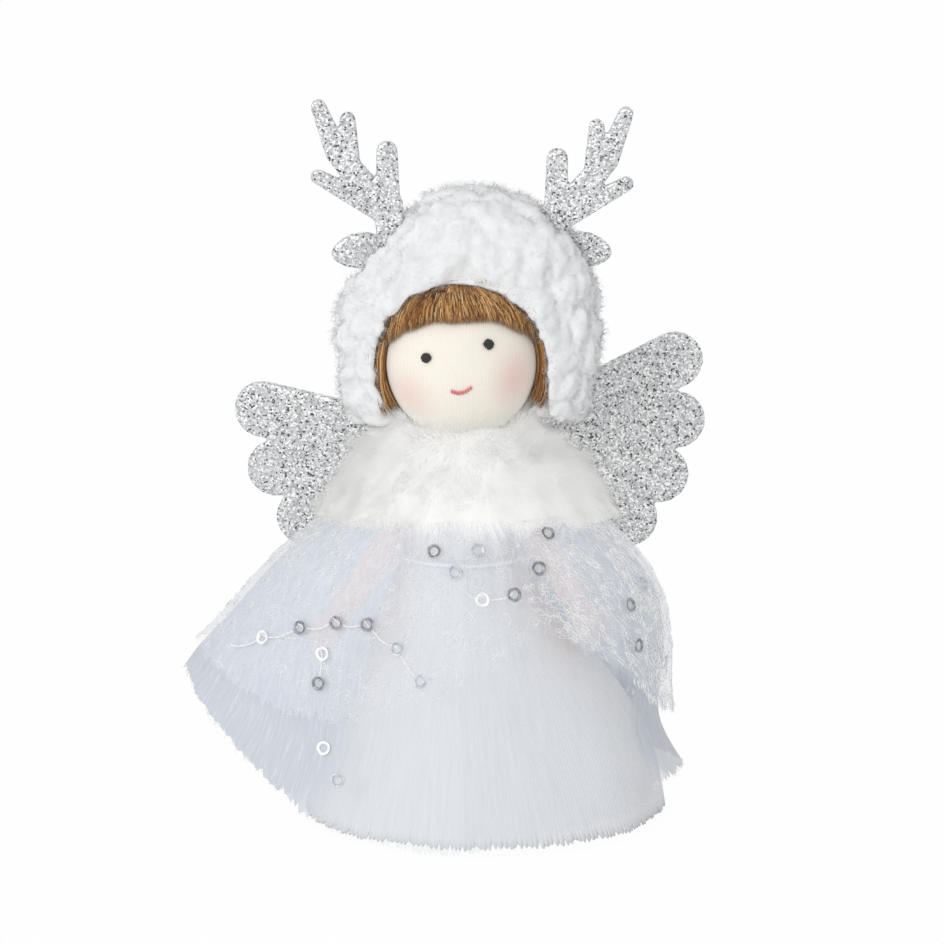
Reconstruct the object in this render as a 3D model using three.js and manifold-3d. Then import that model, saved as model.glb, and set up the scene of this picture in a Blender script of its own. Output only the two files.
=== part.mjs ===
// Hanging angel ornament: a stuffed doll in a plush hood with antlers, a fur cape, glitter wings and
// tulle skirts. Millimetres, +Z up. The doll faces -Y and the viewer's right is +X. The origin is the
// centre of the underside of the card disc that closes the body's foot.
import * as THREE from 'three';
import { mergeVertices } from 'three/addons/utils/BufferGeometryUtils.js';
import Module from 'manifold-3d';

const wasm = await Module();
wasm.setup();

// Clearances
const SEAT_GAP = 0.3;
const LAYER_GAP = 0.45;
const HOOD_CLEARANCE = 0.6;
const HOOD_LINING_GAP = 0.4;

// Stuffed cone body and the card disc under it; the skirts are gathered round its shoulders
const BASE_RADIUS = 27;
const BASE_THICKNESS = 1.2;
const BODY_SWELL = 0.5;
const WAIST_RADIUS = 13.6;
const WAIST_HEIGHT = 60;
const GATHER_RADIUS = 9.7;
const GATHER_HEIGHT = 79.3;
const CHEST_RADIUS = 13.5;
const CHEST_DROP = 7.3;
const CROWN_RISE = 3;
const COVER_THICKNESS = 0.7;

// Neck peg, from the wadding into the head ball
const PEG_RADIUS = 2.5;
const PEG_DEPTH = 26;

// Arms: stuffed tubes sewn on at the shoulders, at drops below the gather
const ARM_LENGTH = 30;
const ARM_TOP_RADIUS = 3.1;
const ARM_WRIST_RADIUS = 3.2;
const ARM_HAND_RADIUS = 3.7;
const SHOULDER_AZIMUTH = 58;
const ARM_LEFT_DROP = 11.3;
const ARM_LEFT_SPLAY = 34;
const ARM_RIGHT_DROP = 8.3;
const ARM_RIGHT_SPLAY = 31;

// Lining skirt: the white cone under the tulle
const LINING_THICKNESS = 0.6;
const LINING_COLLAR = 2;
const LINING_HEM_HEIGHT = 2;
const LINING_FLARE_FRONT = 11;
const LINING_FLARE_SIDE = 14;
const LINING_FLARE_BACK = 4.5;
const LINING_SHIFT = 5;
const LINING_FOLD_DEPTH = 0.6;

// Tulle skirt and the sequin overlay that follows it
const TULLE_THICKNESS = 0.6;
const HEM_CLEARANCE = 1.2;
const SKIRT_SHIFT = 2.2;
const HEM_TILT = 2.8;
const FOLD_DEPTH = 1.5;
const FOLD_COUNT = 7;
const FOLD_TURN = 0.6;
const SMALL_FOLD_COUNT = 11;
const SMALL_FOLD_TURN = 2.2;
const SMALL_FOLD_SHARE = 0.4;
const FLARE_AZIMUTH = -92;
const FLARE_NARROWNESS = 7;
const OVERLAY_SHARE_FRONT = 0.75;
const OVERLAY_SHARE_SIDE = 0.86;
const OVERLAY_PARTING_AZIMUTH = 36;
const OVERLAY_PARTING_WIDTH = 28;
const OVERLAY_PARTING_RISE = 0.14;

// Hanging line of the tulle in four directions, as [out, down] pairs: down from the gather, and out from
// the layer of the arms for the upper four and from the lining's hem for the lower three
const DRAPE_FRONT = [[-2.7, 1.2], [3.3, 5], [7.3, 13.5], [10, 25.5], [-4.5, 41.5], [-0.5, 59.5], [4, 78.1]];
const DRAPE_SIDE = [[-2.7, 2.2], [3.8, 7.5], [13.8, 16.5], [21.8, 29], [2.3, 42.5], [1.1, 58.5], [6.6, 71]];
const DRAPE_BACK = [[-4.2, 3], [-0.7, 9], [1.3, 18.5], [3.8, 30.5], [-4, 46.5], [0, 62.5], [4.5, 76.5]];
const DRAPE_FLARE = [[-2.7, 2.2], [5.3, 7.7], [18.8, 15.8], [27.5, 23.5], [14, 31.5], [21.3, 38.5],
  [25, 42.7]];

// Fur cape
const CAPE_RIM_SHARE = 0.32;
const CAPE_NECK_PILE = 8.5;
const CAPE_RIM_PILE = 4.2;
const CAPE_NECK_LEAN = 82;
const CAPE_RIM_LEAN = -12;
const CAPE_BACK_WALL = 3.4;

// Thread ties
const TIE_RADIUS = 0.55;

// Head
const HEAD_RADIUS = 17.2;
const FACE_THICKNESS = 0.7;
const NECK_TAIL = 5.5;
const TAIL_RADIUS = 4.6;
const FACE_ROLL = 12;
const EYE_SPREAD = 25.5;
const EYE_LATITUDE = 18;
const EYE_LONGITUDE = -2.5;
const EYE_RADIUS = 1.25;
const EYE_THICKNESS = 0.6;
const SMILE_LATITUDE = -12.5;
const SMILE_SPAN = 7;
const SMILE_SAG = 2.6;
const SMILE_THREAD_RADIUS = 0.35;

// Hair: a fringe and two side locks on the ball, angles in degrees
const HAIR_THICKNESS = 2.2;
const FRINGE_HALF_WIDTH = 80;
const FRINGE_LATITUDE = 42;
const FRINGE_DROOP = 27;
const FRINGE_LEVEL = 25;
const FRINGE_BEND = 1.3;
const FRINGE_TOP = 76;
const LOCK_FROM = 70;
const LOCK_TO = 100;
const LOCK_BOTTOM = -38;

// Hood
const HOOD_SHIFT = 1.4;
const HOOD_SEAM_Y = 4;
const HOOD_LIFT = 4;
const HOOD_SIDE_WALL = 10.1;
const HOOD_CROWN_WALL = 13.4;
const HOOD_BACK_WALL = 5.9;
const HOOD_FRONT_DEPTH = 15;
const HOOD_ROUNDNESS = 2.2;
const HOOD_LEFT_SLOPE = 0.5;
const HOOD_RIGHT_FULLNESS = 0.2;
const FACE_OPENING_RADIUS = 19.6;

// Glitter sheet pieces
const SHEET_THICKNESS = 2;
const ANTLER_LEFT_ANGLE = 32.5;
const ANTLER_RIGHT_ANGLE = 37.3;
const ANTLER_LEFT_SINK = -0.6;
const ANTLER_RIGHT_SINK = 2.6;
const EAR_LEFT_ANGLE = 39.5;
const EAR_RIGHT_ANGLE = 42;
const EAR_LEFT_SINK = 3.2;
const EAR_RIGHT_SINK = 5.4;
const EAR_LENGTH = 13.6;
const EAR_WIDTH = 8.2;
const EAR_BELLY = 0.25;
const EAR_TIP_ROUNDNESS = 0.44;
const EAR_PEAK = 0.56;
const EAR_DROOP = 8;
const WING_SHIFT = 3.1;
const WING_DROP = 10;
const WING_ROLL = 7;
const WING_SWEEP = 10;
const BRIDGE_WIDTH = 10;
const BRIDGE_HEIGHT = 14;
const FEATHER_COUNT = 4;
const FEATHER_LENGTH = 44.6;
const FEATHER_SHRINK = 2.8;
const FEATHER_ANGLE = 15.7;
const FEATHER_STEP = 18.3;
const FEATHER_ROOT_WIDTH = 9;
const FEATHER_TIP_WIDTH = 13;

// Antler tines as [from x, from z, to x, to z, half width at the root, half width at the tip],
// outwards from the antler's foot
const TINES = [
  [0.6, -3, 0.8, 4, 2.8, 3.3],
  [0.8, 3, 1.1, 16.4, 2.7, 2.35],
  [2.5, 2.9, 16.6, 10.6, 2.6, 1.6],
  [3.2, 5, 12.4, 16.2, 3.1, 2.5],
  [12.4, 16.2, 16.4, 26.5, 2.5, 1.7],
  [9.3, 12.5, 9.9, 23.6, 2.3, 1.75],
];

// Ring sequins, at their places on the overlay as seen from the front and from the back: x, and the drop
// below the gather
const SEQUIN_RADIUS = 1.6;
const SEQUIN_HOLE_RADIUS = 0.9;
const SEQUIN_THICKNESS = 0.3;
const SEQUIN_CUP = 0.25;
const SEQUINS_FRONT = [
  [-14.4, 6.3], [-5.9, 12], [-1.4, 16.3], [3.6, 11.7], [4.7, 22.3], [11.7, 21.3], [17.1, 16],
  [19.1, 9.3], [-44.3, 34.3], [-35.8, 30.8], [-27.7, 28.7], [-20.9, 28.5], [-30.8, 35.7],
  [-14.2, 33.5], [-9, 40.3], [40.3, 23.4], [37.4, 26.4], [39.2, 35.6], [45.2, 42.3], [37.4, 45.1],
  [-31.7, 42.3],
];
const SEQUINS_BACK = [[-18, 33.3], [-6, 39.3], [7, 36.3], [20, 41.3], [-26, 43.3], [30, 33.3]];

// Facets, and the halvings that find a place on the cloth
const HALVINGS = 40;
const ROUND_FACETS = 20;
const CLOTH_FACETS = 56;
const CLOTH_ROWS = 8;
const HEM_ROWS = 2;
const LINING_FACETS = 32;
const LINING_ROWS = 5;
const CAPE_FACETS = 32;
const CAPE_ROWS = 6;
const SEQUIN_FACETS = 8;
const ARC_FACETS = 6;
const BODY_ROWS = 12;
const BALL_ROWS = 10;
const HAIR_FACET_ANGLE = 11.5;
const HOOD_FACETS = 24;
const HOOD_ROWS = 16;

// Finishes
const CARD = new THREE.MeshStandardMaterial({ color: 0xd9d4c8, roughness: 0.9, metalness: 0 });
const WADDING = new THREE.MeshStandardMaterial({ color: 0xf4f4f2, roughness: 1, metalness: 0 });
const COTTON = new THREE.MeshStandardMaterial({ color: 0xf0eeea, roughness: 0.9, metalness: 0 });
const WOOD = new THREE.MeshStandardMaterial({ color: 0xd8b98a, roughness: 0.7, metalness: 0 });
const THREAD = new THREE.MeshStandardMaterial({ color: 0xf2f0ec, roughness: 0.8, metalness: 0 });
const SKIN = new THREE.MeshStandardMaterial({ color: 0xe6c3b0, roughness: 0.9, metalness: 0 });
const KNIT = new THREE.MeshStandardMaterial({ color: 0xf4ede0, roughness: 0.95, metalness: 0 });
const FOAM = new THREE.MeshStandardMaterial({ color: 0xf6f6f4, roughness: 0.8, metalness: 0 });
const TULLE = new THREE.MeshStandardMaterial({ color: 0xdde2e8, roughness: 0.6, metalness: 0 });
const LINING = new THREE.MeshStandardMaterial({ color: 0xeef0f2, roughness: 0.8, metalness: 0 });
const OVERLAY = new THREE.MeshStandardMaterial({ color: 0xd3d8e2, roughness: 0.5, metalness: 0 });
const FUR = new THREE.MeshStandardMaterial({ color: 0xf4f4f2, roughness: 1, metalness: 0 });
const PLUSH = new THREE.MeshStandardMaterial({ color: 0xe6e7e7, roughness: 1, metalness: 0 });
const HAIR = new THREE.MeshStandardMaterial({ color: 0xa5754a, roughness: 0.8, metalness: 0 });
const GLITTER = new THREE.MeshStandardMaterial({ color: 0xd2d4d3, roughness: 0.35, metalness: 0.6 });
const EYE_THREAD = new THREE.MeshStandardMaterial({ color: 0x16130f, roughness: 0.5, metalness: 0 });
const SMILE_THREAD = new THREE.MeshStandardMaterial({ color: 0xdc5a5f, roughness: 0.6, metalness: 0 });
const SILVER = new THREE.MeshStandardMaterial({ color: 0xe4e6ea, roughness: 0.15, metalness: 0.9 });

const ornament = new THREE.Group();
const radians = THREE.MathUtils.degToRad;
const mix = THREE.MathUtils.lerp;

function piece(name, geometry, material, parent = ornament) {
  const mesh = new THREE.Mesh(geometry, material);
  mesh.name = name;
  parent.add(mesh);
  return mesh;
}

// Solids for joining and cutting
function solidOf(geometry) {
  const bare = geometry.clone();
  bare.deleteAttribute('normal');
  bare.deleteAttribute('uv');
  const merged = mergeVertices(bare, 1e-4);
  const vertProperties = new Float32Array(merged.attributes.position.array);
  const triVerts = new Uint32Array(merged.index.array);
  const mesh = new wasm.Mesh({ numProp: 3, vertProperties, triVerts });
  mesh.merge();
  return new wasm.Manifold(mesh);
}

function geometryOf(solid) {
  const mesh = solid.getMesh();
  const geometry = new THREE.BufferGeometry();
  geometry.setAttribute('position', new THREE.BufferAttribute(mesh.vertProperties, 3));
  geometry.setIndex(new THREE.BufferAttribute(mesh.triVerts, 1));
  return geometry;
}

function cut(geometry, ...tools) {
  let solid = solidOf(geometry);
  for (const tool of tools) solid = solid.subtract(solidOf(tool));
  return geometryOf(solid);
}

function joined(geometries) {
  let solid = solidOf(geometries[0]);
  for (const geometry of geometries.slice(1)) solid = solid.add(solidOf(geometry));
  return geometryOf(solid);
}

function keepInside(geometry, region) {
  return geometryOf(solidOf(geometry).intersect(solidOf(region)));
}

// A box between two corners
function boxBetween(low, high) {
  const size = high.map((value, axis) => value - low[axis]);
  const centre = high.map((value, axis) => (value + low[axis]) / 2);
  return new THREE.BoxGeometry(...size).translate(...centre);
}

// A round piece about Z from [radius, z] points, listed upwards along its outside
function turned(points, facets = ROUND_FACETS) {
  const profile = points.map(([radius, z]) => new THREE.Vector2(radius, z));
  return new THREE.LatheGeometry(profile, facets).rotateX(Math.PI / 2);
}

// A ring of round section about Z
function threadRing(radius, z, threadRadius) {
  const steps = Array.from({ length: ARC_FACETS + 1 }, (_, index) => (2 * Math.PI * index) / ARC_FACETS);
  const pointAt = (turn) => [radius + threadRadius * Math.cos(turn), z + threadRadius * Math.sin(turn)];
  return turned(steps.map(pointAt));
}

// A flat sheet in the XZ plane, its front at y = 0 and its back at y = thickness
function flatSheet(shape, thickness) {
  const settings = { depth: thickness, bevelEnabled: false, curveSegments: ARC_FACETS };
  return new THREE.ExtrudeGeometry(shape, settings).rotateX(Math.PI / 2).translate(0, thickness, 0);
}

// The outline of a strip with round ends, whose half width runs from one value to another
function roundStrip(fromX, fromZ, toX, toZ, fromHalf, toHalf) {
  const heading = Math.atan2(toZ - fromZ, toX - fromX);
  const length = Math.hypot(toX - fromX, toZ - fromZ);
  const spread = Math.acos((fromHalf - toHalf) / length);
  const shape = new THREE.Shape();
  shape.absarc(toX, toZ, toHalf, heading - spread, heading + spread, false);
  shape.absarc(fromX, fromZ, fromHalf, heading + spread, heading + 2 * Math.PI - spread, false);
  return shape;
}

// Azimuth is 0 at the doll's front and grows towards the viewer's right
function around(radius, azimuth, z) {
  return new THREE.Vector3(radius * Math.sin(azimuth), -radius * Math.cos(azimuth), z);
}

// A closed ring of cloth: sectionAt(azimuth) gives the same number of [radius, z, shift] points all round,
// up the outside and down the inside
function clothRing(sectionAt, facets) {
  const sections = Array.from({ length: facets }, (_, turn) => sectionAt((2 * Math.PI * turn) / facets));
  const count = sections[0].length;
  const positions = [];
  sections.forEach((section, turn) => {
    for (const [radius, z, shift] of section) {
      const point = around(radius, (2 * Math.PI * turn) / facets, z);
      positions.push(point.x + shift, point.y, point.z);
    }
  });
  const triangles = [];
  for (let turn = 0; turn < facets; turn += 1) {
    const here = turn * count;
    const next = ((turn + 1) % facets) * count;
    for (let step = 0; step < count; step += 1) {
      const up = (step + 1) % count;
      triangles.push(here + step, next + step, next + up, here + step, next + up, here + up);
    }
  }
  const geometry = new THREE.BufferGeometry();
  geometry.setAttribute('position', new THREE.Float32BufferAttribute(positions, 3));
  geometry.setIndex(triangles);
  return geometry;
}

// Body
const bodyTop = GATHER_HEIGHT + CROWN_RISE;

// The cover's outside from the foot to the crown, moved inwards by an inset
function bodyProfile(inset) {
  const foot = BASE_THICKNESS + SEAT_GAP;
  const middle = [(BASE_RADIUS + WAIST_RADIUS) / 2 + BODY_SWELL, (foot + WAIST_HEIGHT) / 2];
  const crown = [GATHER_RADIUS / 2, bodyTop - SEAT_GAP];
  const chest = [CHEST_RADIUS, GATHER_HEIGHT - CHEST_DROP];
  const waist = [WAIST_RADIUS, WAIST_HEIGHT];
  const gather = [GATHER_RADIUS, GATHER_HEIGHT];
  const knots = [[BASE_RADIUS, foot], middle, waist, chest, gather, crown, [0, bodyTop]];
  const curve = new THREE.SplineCurve(knots.map(([radius, z]) => new THREE.Vector2(radius, z)));
  const sides = Array.from({ length: BODY_ROWS }, (_, row) => {
    const point = curve.getPoint(row / BODY_ROWS);
    const tangent = curve.getTangent(row / BODY_ROWS);
    return [point.x - inset * tangent.y, point.y + inset * tangent.x];
  });
  return [...sides, [0, bodyTop - inset]];
}

function bodyRadiusAt(z) {
  const profile = bodyProfile(0);
  const above = profile.findIndex(([, height]) => height >= z);
  const [lowRadius, lowZ] = profile[above - 1];
  const [highRadius, highZ] = profile[above];
  return mix(lowRadius, highRadius, (z - lowZ) / (highZ - lowZ));
}

const pegFoot = bodyTop - PEG_DEPTH;
const headCentre = new THREE.Vector3(0, 0, bodyTop + NECK_TAIL + HEAD_RADIUS);
const pegHole = PEG_RADIUS + SEAT_GAP;

function pegBore(fromZ, toZ) {
  return turned([[0, fromZ], [pegHole, fromZ], [pegHole, toZ], [0, toZ]]);
}

function addBody() {
  const foot = BASE_THICKNESS + SEAT_GAP;
  const disc = [[0, 0], [BASE_RADIUS, 0], [BASE_RADIUS, BASE_THICKNESS], [0, BASE_THICKNESS]];
  piece('base_card', turned(disc), CARD);
  const outside = turned([[0, foot], ...bodyProfile(0)]);
  const inside = bodyProfile(COVER_THICKNESS);
  const below = [[0, foot - COVER_THICKNESS], [inside[0][0], foot - COVER_THICKNESS]];
  const bore = pegBore(pegFoot - SEAT_GAP, bodyTop + NECK_TAIL);
  piece('body_cover', cut(outside, turned([...below, ...inside]), bore), COTTON);
  const stuffing = turned([[0, foot], ...bodyProfile(COVER_THICKNESS + SEAT_GAP)]);
  piece('stuffing', cut(stuffing, bore), WADDING);
  const pegTop = headCentre.z;
  piece('neck_peg', turned([[0, pegFoot], [PEG_RADIUS, pegFoot], [PEG_RADIUS, pegTop], [0, pegTop]]), WOOD);
}

// Skirts

// Soft folds round the skirt, between -1 and 1
function folds(azimuth) {
  const large = Math.cos(FOLD_COUNT * azimuth + FOLD_TURN);
  const small = Math.cos(SMALL_FOLD_COUNT * azimuth + SMALL_FOLD_TURN);
  return mix(large, small, SMALL_FOLD_SHARE);
}

function shares(azimuth) {
  const forward = Math.cos(azimuth);
  return { front: Math.max(0, forward) ** 2, back: Math.max(0, -forward) ** 2, side: Math.sin(azimuth) ** 2 };
}

const liningWaist = WAIST_RADIUS + SEAT_GAP + LINING_THICKNESS;

function liningHem(azimuth) {
  const { front, back, side } = shares(azimuth);
  return BASE_RADIUS + front * LINING_FLARE_FRONT + back * LINING_FLARE_BACK + side * LINING_FLARE_SIDE;
}

function liningPoint(azimuth, share) {
  const drop = Math.max(0, share);
  const radius = mix(liningWaist, liningHem(azimuth), drop) + LINING_FOLD_DEPTH * folds(azimuth) * drop ** 2;
  return [radius, mix(WAIST_HEIGHT, LINING_HEM_HEIGHT, share), LINING_SHIFT * drop];
}

function liningSection(azimuth) {
  const collar = -LINING_COLLAR / (WAIST_HEIGHT - LINING_HEM_HEIGHT);
  const steps = Array.from({ length: LINING_ROWS }, (_, row) => 1 - row / (LINING_ROWS - 1));
  const outside = [...steps, collar].map((share) => liningPoint(azimuth, share));
  const inside = outside.map(([radius, z, shift]) => [radius - LINING_THICKNESS, z, shift]).reverse();
  return [...outside, ...inside];
}

const armLayer = CHEST_RADIUS + SEAT_GAP + 2 * ARM_TOP_RADIUS;
const gatherRadius = GATHER_RADIUS + SEAT_GAP + TULLE_THICKNESS;
const fullDrop = DRAPE_FRONT[DRAPE_FRONT.length - 1][1];
const dropScale = (GATHER_HEIGHT - HEM_CLEARANCE) / fullDrop;
const armRows = 4;

// A hanging line as a curve of radius and height
function drapeCurve(drape, hemFlare) {
  const knots = drape.map(([out, down], row) => {
    const layer = row < armRows ? armLayer : BASE_RADIUS + hemFlare;
    return new THREE.Vector2(layer + out, GATHER_HEIGHT - down * dropScale);
  });
  return new THREE.SplineCurve([new THREE.Vector2(gatherRadius, GATHER_HEIGHT), ...knots]);
}

const frontCurve = drapeCurve(DRAPE_FRONT, LINING_FLARE_FRONT);
const sideCurve = drapeCurve(DRAPE_SIDE, LINING_FLARE_SIDE);
const backCurve = drapeCurve(DRAPE_BACK, LINING_FLARE_BACK);
const flareCurve = drapeCurve(DRAPE_FLARE, LINING_FLARE_SIDE);

function flareShare(azimuth) {
  return Math.max(0, Math.cos(azimuth - radians(FLARE_AZIMUTH))) ** FLARE_NARROWNESS;
}

// The outside of the tulle at an azimuth and a share of its length, raised by so many layers
function drapePoint(azimuth, share, layers = 0) {
  const { front, back, side } = shares(azimuth);
  const line = frontCurve.getPoint(share).multiplyScalar(front);
  line.addScaledVector(sideCurve.getPoint(share), side).addScaledVector(backCurve.getPoint(share), back);
  line.lerp(flareCurve.getPoint(share), flareShare(azimuth));
  const lift = layers * (TULLE_THICKNESS + LAYER_GAP);
  const radius = line.x + FOLD_DEPTH * folds(azimuth) * share ** 2 + lift;
  const tilt = HEM_TILT * Math.sin(azimuth) * share ** 2;
  return [radius, line.y + tilt + lift, SKIRT_SHIFT * Math.min(1, 2 * share)];
}

// The same point set in along the hanging line's own normal
function insetPoint(azimuth, share, layers, inset) {
  const step = 0.01;
  const [radius, z, shift] = drapePoint(azimuth, share, layers);
  const [highRadius, highZ] = drapePoint(azimuth, Math.max(0, share - step), layers);
  const [lowRadius, lowZ] = drapePoint(azimuth, Math.min(1, share + step), layers);
  const normal = new THREE.Vector2(highZ - lowZ, lowRadius - highRadius).normalize();
  return [radius - inset * normal.x, z - inset * normal.y, shift];
}

// The overlay's hem, as a share of the tulle's length; it rises where the overlay parts at the front right
function overlayShare(azimuth) {
  const level = mix(OVERLAY_SHARE_FRONT, OVERLAY_SHARE_SIDE, Math.sin(azimuth) ** 2);
  const turn = azimuth - radians(OVERLAY_PARTING_AZIMUTH);
  const away = Math.atan2(Math.sin(turn), Math.cos(turn)) / radians(OVERLAY_PARTING_WIDTH);
  return level - OVERLAY_PARTING_RISE * Math.exp(-(away ** 2));
}

// Shares of the hanging length, from the gather to the overlay's hem and on to the tulle's own hem
function overlaySteps(azimuth) {
  const hem = overlayShare(azimuth);
  return Array.from({ length: CLOTH_ROWS + 1 }, (_, row) => (hem * row) / CLOTH_ROWS);
}

function tulleSteps(azimuth) {
  const hem = overlayShare(azimuth);
  const below = Array.from({ length: HEM_ROWS }, (_, row) => mix(hem, 1, (row + 1) / HEM_ROWS));
  return [...overlaySteps(azimuth), ...below];
}

function drapeSection(azimuth, steps, layers) {
  const outside = steps.map((share) => insetPoint(azimuth, share, layers, 0)).reverse();
  const inside = steps.map((share) => insetPoint(azimuth, share, layers, TULLE_THICKNESS));
  return [...outside, ...inside];
}

function addSkirts() {
  piece('lining_skirt', clothRing(liningSection, LINING_FACETS), LINING);
  const waistTie = liningWaist + SEAT_GAP + TIE_RADIUS;
  piece('waist_tie', threadRing(waistTie, WAIST_HEIGHT + LINING_COLLAR / 2, TIE_RADIUS), THREAD);
  const tulleSection = (azimuth) => drapeSection(azimuth, tulleSteps(azimuth), 0);
  piece('tulle_skirt', clothRing(tulleSection, CLOTH_FACETS), TULLE);
  const overlaySection = (azimuth) => drapeSection(azimuth, overlaySteps(azimuth), 1);
  piece('sequin_overlay', clothRing(overlaySection, CLOTH_FACETS), OVERLAY);
  const [overlayRadius, overlayTop] = drapePoint(0, 0, 1);
  const tieHeight = overlayTop + SEAT_GAP + TIE_RADIUS;
  piece('gather_tie', threadRing(overlayRadius - TULLE_THICKNESS / 2, tieHeight, TIE_RADIUS), THREAD);
}

// Arms

function armGeometry() {
  const hand = -ARM_LENGTH;
  const slope = Math.SQRT1_2;
  const knots = [[0, hand - ARM_HAND_RADIUS], [ARM_HAND_RADIUS * slope, hand - ARM_HAND_RADIUS * slope],
    [ARM_HAND_RADIUS, hand], [ARM_WRIST_RADIUS, hand + 2 * ARM_HAND_RADIUS], [ARM_TOP_RADIUS, 0],
    [ARM_TOP_RADIUS * slope, ARM_TOP_RADIUS * slope], [0, ARM_TOP_RADIUS]];
  return turned(knots, ROUND_FACETS / 2);
}

function addArm(name, side, drop, splay) {
  const height = GATHER_HEIGHT - drop;
  const reach = bodyRadiusAt(height) + SEAT_GAP + ARM_TOP_RADIUS;
  const arm = piece(name, armGeometry(), SKIN);
  arm.position.copy(around(reach, side * radians(SHOULDER_AZIMUTH), height));
  arm.rotation.y = -side * radians(splay);
}

// Cape: its inside follows the overlay, its outside stands a pile's length away, and its back is pressed flat
const backSeat = drapePoint(Math.PI, CAPE_RIM_SHARE, 2)[0] + CAPE_BACK_WALL;
const capeTop = drapePoint(0, 0, 2)[1] + CAPE_NECK_PILE;

function capeSection(azimuth) {
  const steps = Array.from({ length: CAPE_ROWS + 1 }, (_, row) => 1 - row / CAPE_ROWS);
  const inside = steps.map((step) => insetPoint(azimuth, step * CAPE_RIM_SHARE, 2, 0));
  const outside = inside.map(([radius, z, shift], row) => {
    const lean = radians(mix(CAPE_NECK_LEAN, CAPE_RIM_LEAN, steps[row]));
    const pile = mix(CAPE_NECK_PILE, CAPE_RIM_PILE, steps[row]);
    const reach = radius + pile * Math.cos(lean);
    const flat = Math.cos(azimuth) < 0 ? backSeat / -Math.cos(azimuth) : Infinity;
    return [Math.min(reach, flat), z + pile * Math.sin(lean), shift];
  });
  return [...outside, ...inside.reverse()];
}

// Head

// A point on the head at a longitude from the face and a latitude, both in degrees
function onHead(radius, longitude, latitude) {
  const level = radius * Math.cos(radians(latitude));
  return around(level, radians(longitude), radius * Math.sin(radians(latitude))).add(headCentre);
}

function ballArc(radius, fromLatitude, toLatitude) {
  return Array.from({ length: BALL_ROWS + 1 }, (_, row) => {
    const latitude = mix(fromLatitude, toLatitude, row / BALL_ROWS);
    const level = Math.abs(latitude) === 90 ? 0 : radius * Math.cos(radians(latitude));
    return [level, headCentre.z + radius * Math.sin(radians(latitude))];
  });
}

function addHeadBall(head) {
  const inner = HEAD_RADIUS - FACE_THICKNESS;
  const core = inner - SEAT_GAP;
  const bore = pegBore(bodyTop, headCentre.z + SEAT_GAP);
  piece('head_ball', cut(turned(ballArc(core, -90, 90)), bore), FOAM, head);
  const tailFoot = bodyTop + SEAT_GAP;
  const outsideFrom = -THREE.MathUtils.radToDeg(Math.acos(TAIL_RADIUS / HEAD_RADIUS));
  const insideFrom = -THREE.MathUtils.radToDeg(Math.acos(pegHole / inner));
  const profile = [[pegHole, tailFoot], [TAIL_RADIUS, tailFoot], ...ballArc(HEAD_RADIUS, outsideFrom, 90),
    ...ballArc(inner, insideFrom, 90).reverse(), [pegHole, tailFoot]];
  piece('face_cover', turned(profile), KNIT, head);
  const tieRadius = TAIL_RADIUS + SEAT_GAP + TIE_RADIUS;
  piece('neck_tie', threadRing(tieRadius, bodyTop + NECK_TAIL / 2, TIE_RADIUS), THREAD, head);
}

function addFace(head) {
  const up = new THREE.Vector3(0, 0, 1);
  const slope = Math.SQRT1_2;
  const dome = [[0, 0], [EYE_RADIUS, 0], [EYE_RADIUS * slope, EYE_THICKNESS * slope], [0, EYE_THICKNESS]];
  for (const side of [-1, 1]) {
    const longitude = EYE_LONGITUDE + side * EYE_SPREAD * Math.cos(radians(FACE_ROLL));
    const latitude = EYE_LATITUDE + side * EYE_SPREAD * Math.sin(radians(FACE_ROLL));
    const eye = piece(side < 0 ? 'eye_left' : 'eye_right', turned(dome, ROUND_FACETS / 2), EYE_THREAD, head);
    eye.position.copy(onHead(HEAD_RADIUS + SEAT_GAP, longitude, latitude));
    eye.quaternion.setFromUnitVectors(up, eye.position.clone().sub(headCentre).normalize());
  }
  const stitchRadius = HEAD_RADIUS + SEAT_GAP + SMILE_THREAD_RADIUS;
  const knots = [-1, 0, 1].map((side) => {
    const rise = side * side * SMILE_SAG + side * SMILE_SPAN * Math.sin(radians(FACE_ROLL));
    return onHead(stitchRadius, side * SMILE_SPAN, SMILE_LATITUDE + rise);
  });
  const section = new THREE.Shape().absarc(0, 0, SMILE_THREAD_RADIUS, 0, 2 * Math.PI, false);
  const path = new THREE.CatmullRomCurve3(knots);
  const settings = { steps: ARC_FACETS, extrudePath: path, curveSegments: ARC_FACETS, bevelEnabled: false };
  piece('smile', new THREE.ExtrudeGeometry(section, settings), SMILE_THREAD, head);
}

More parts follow.
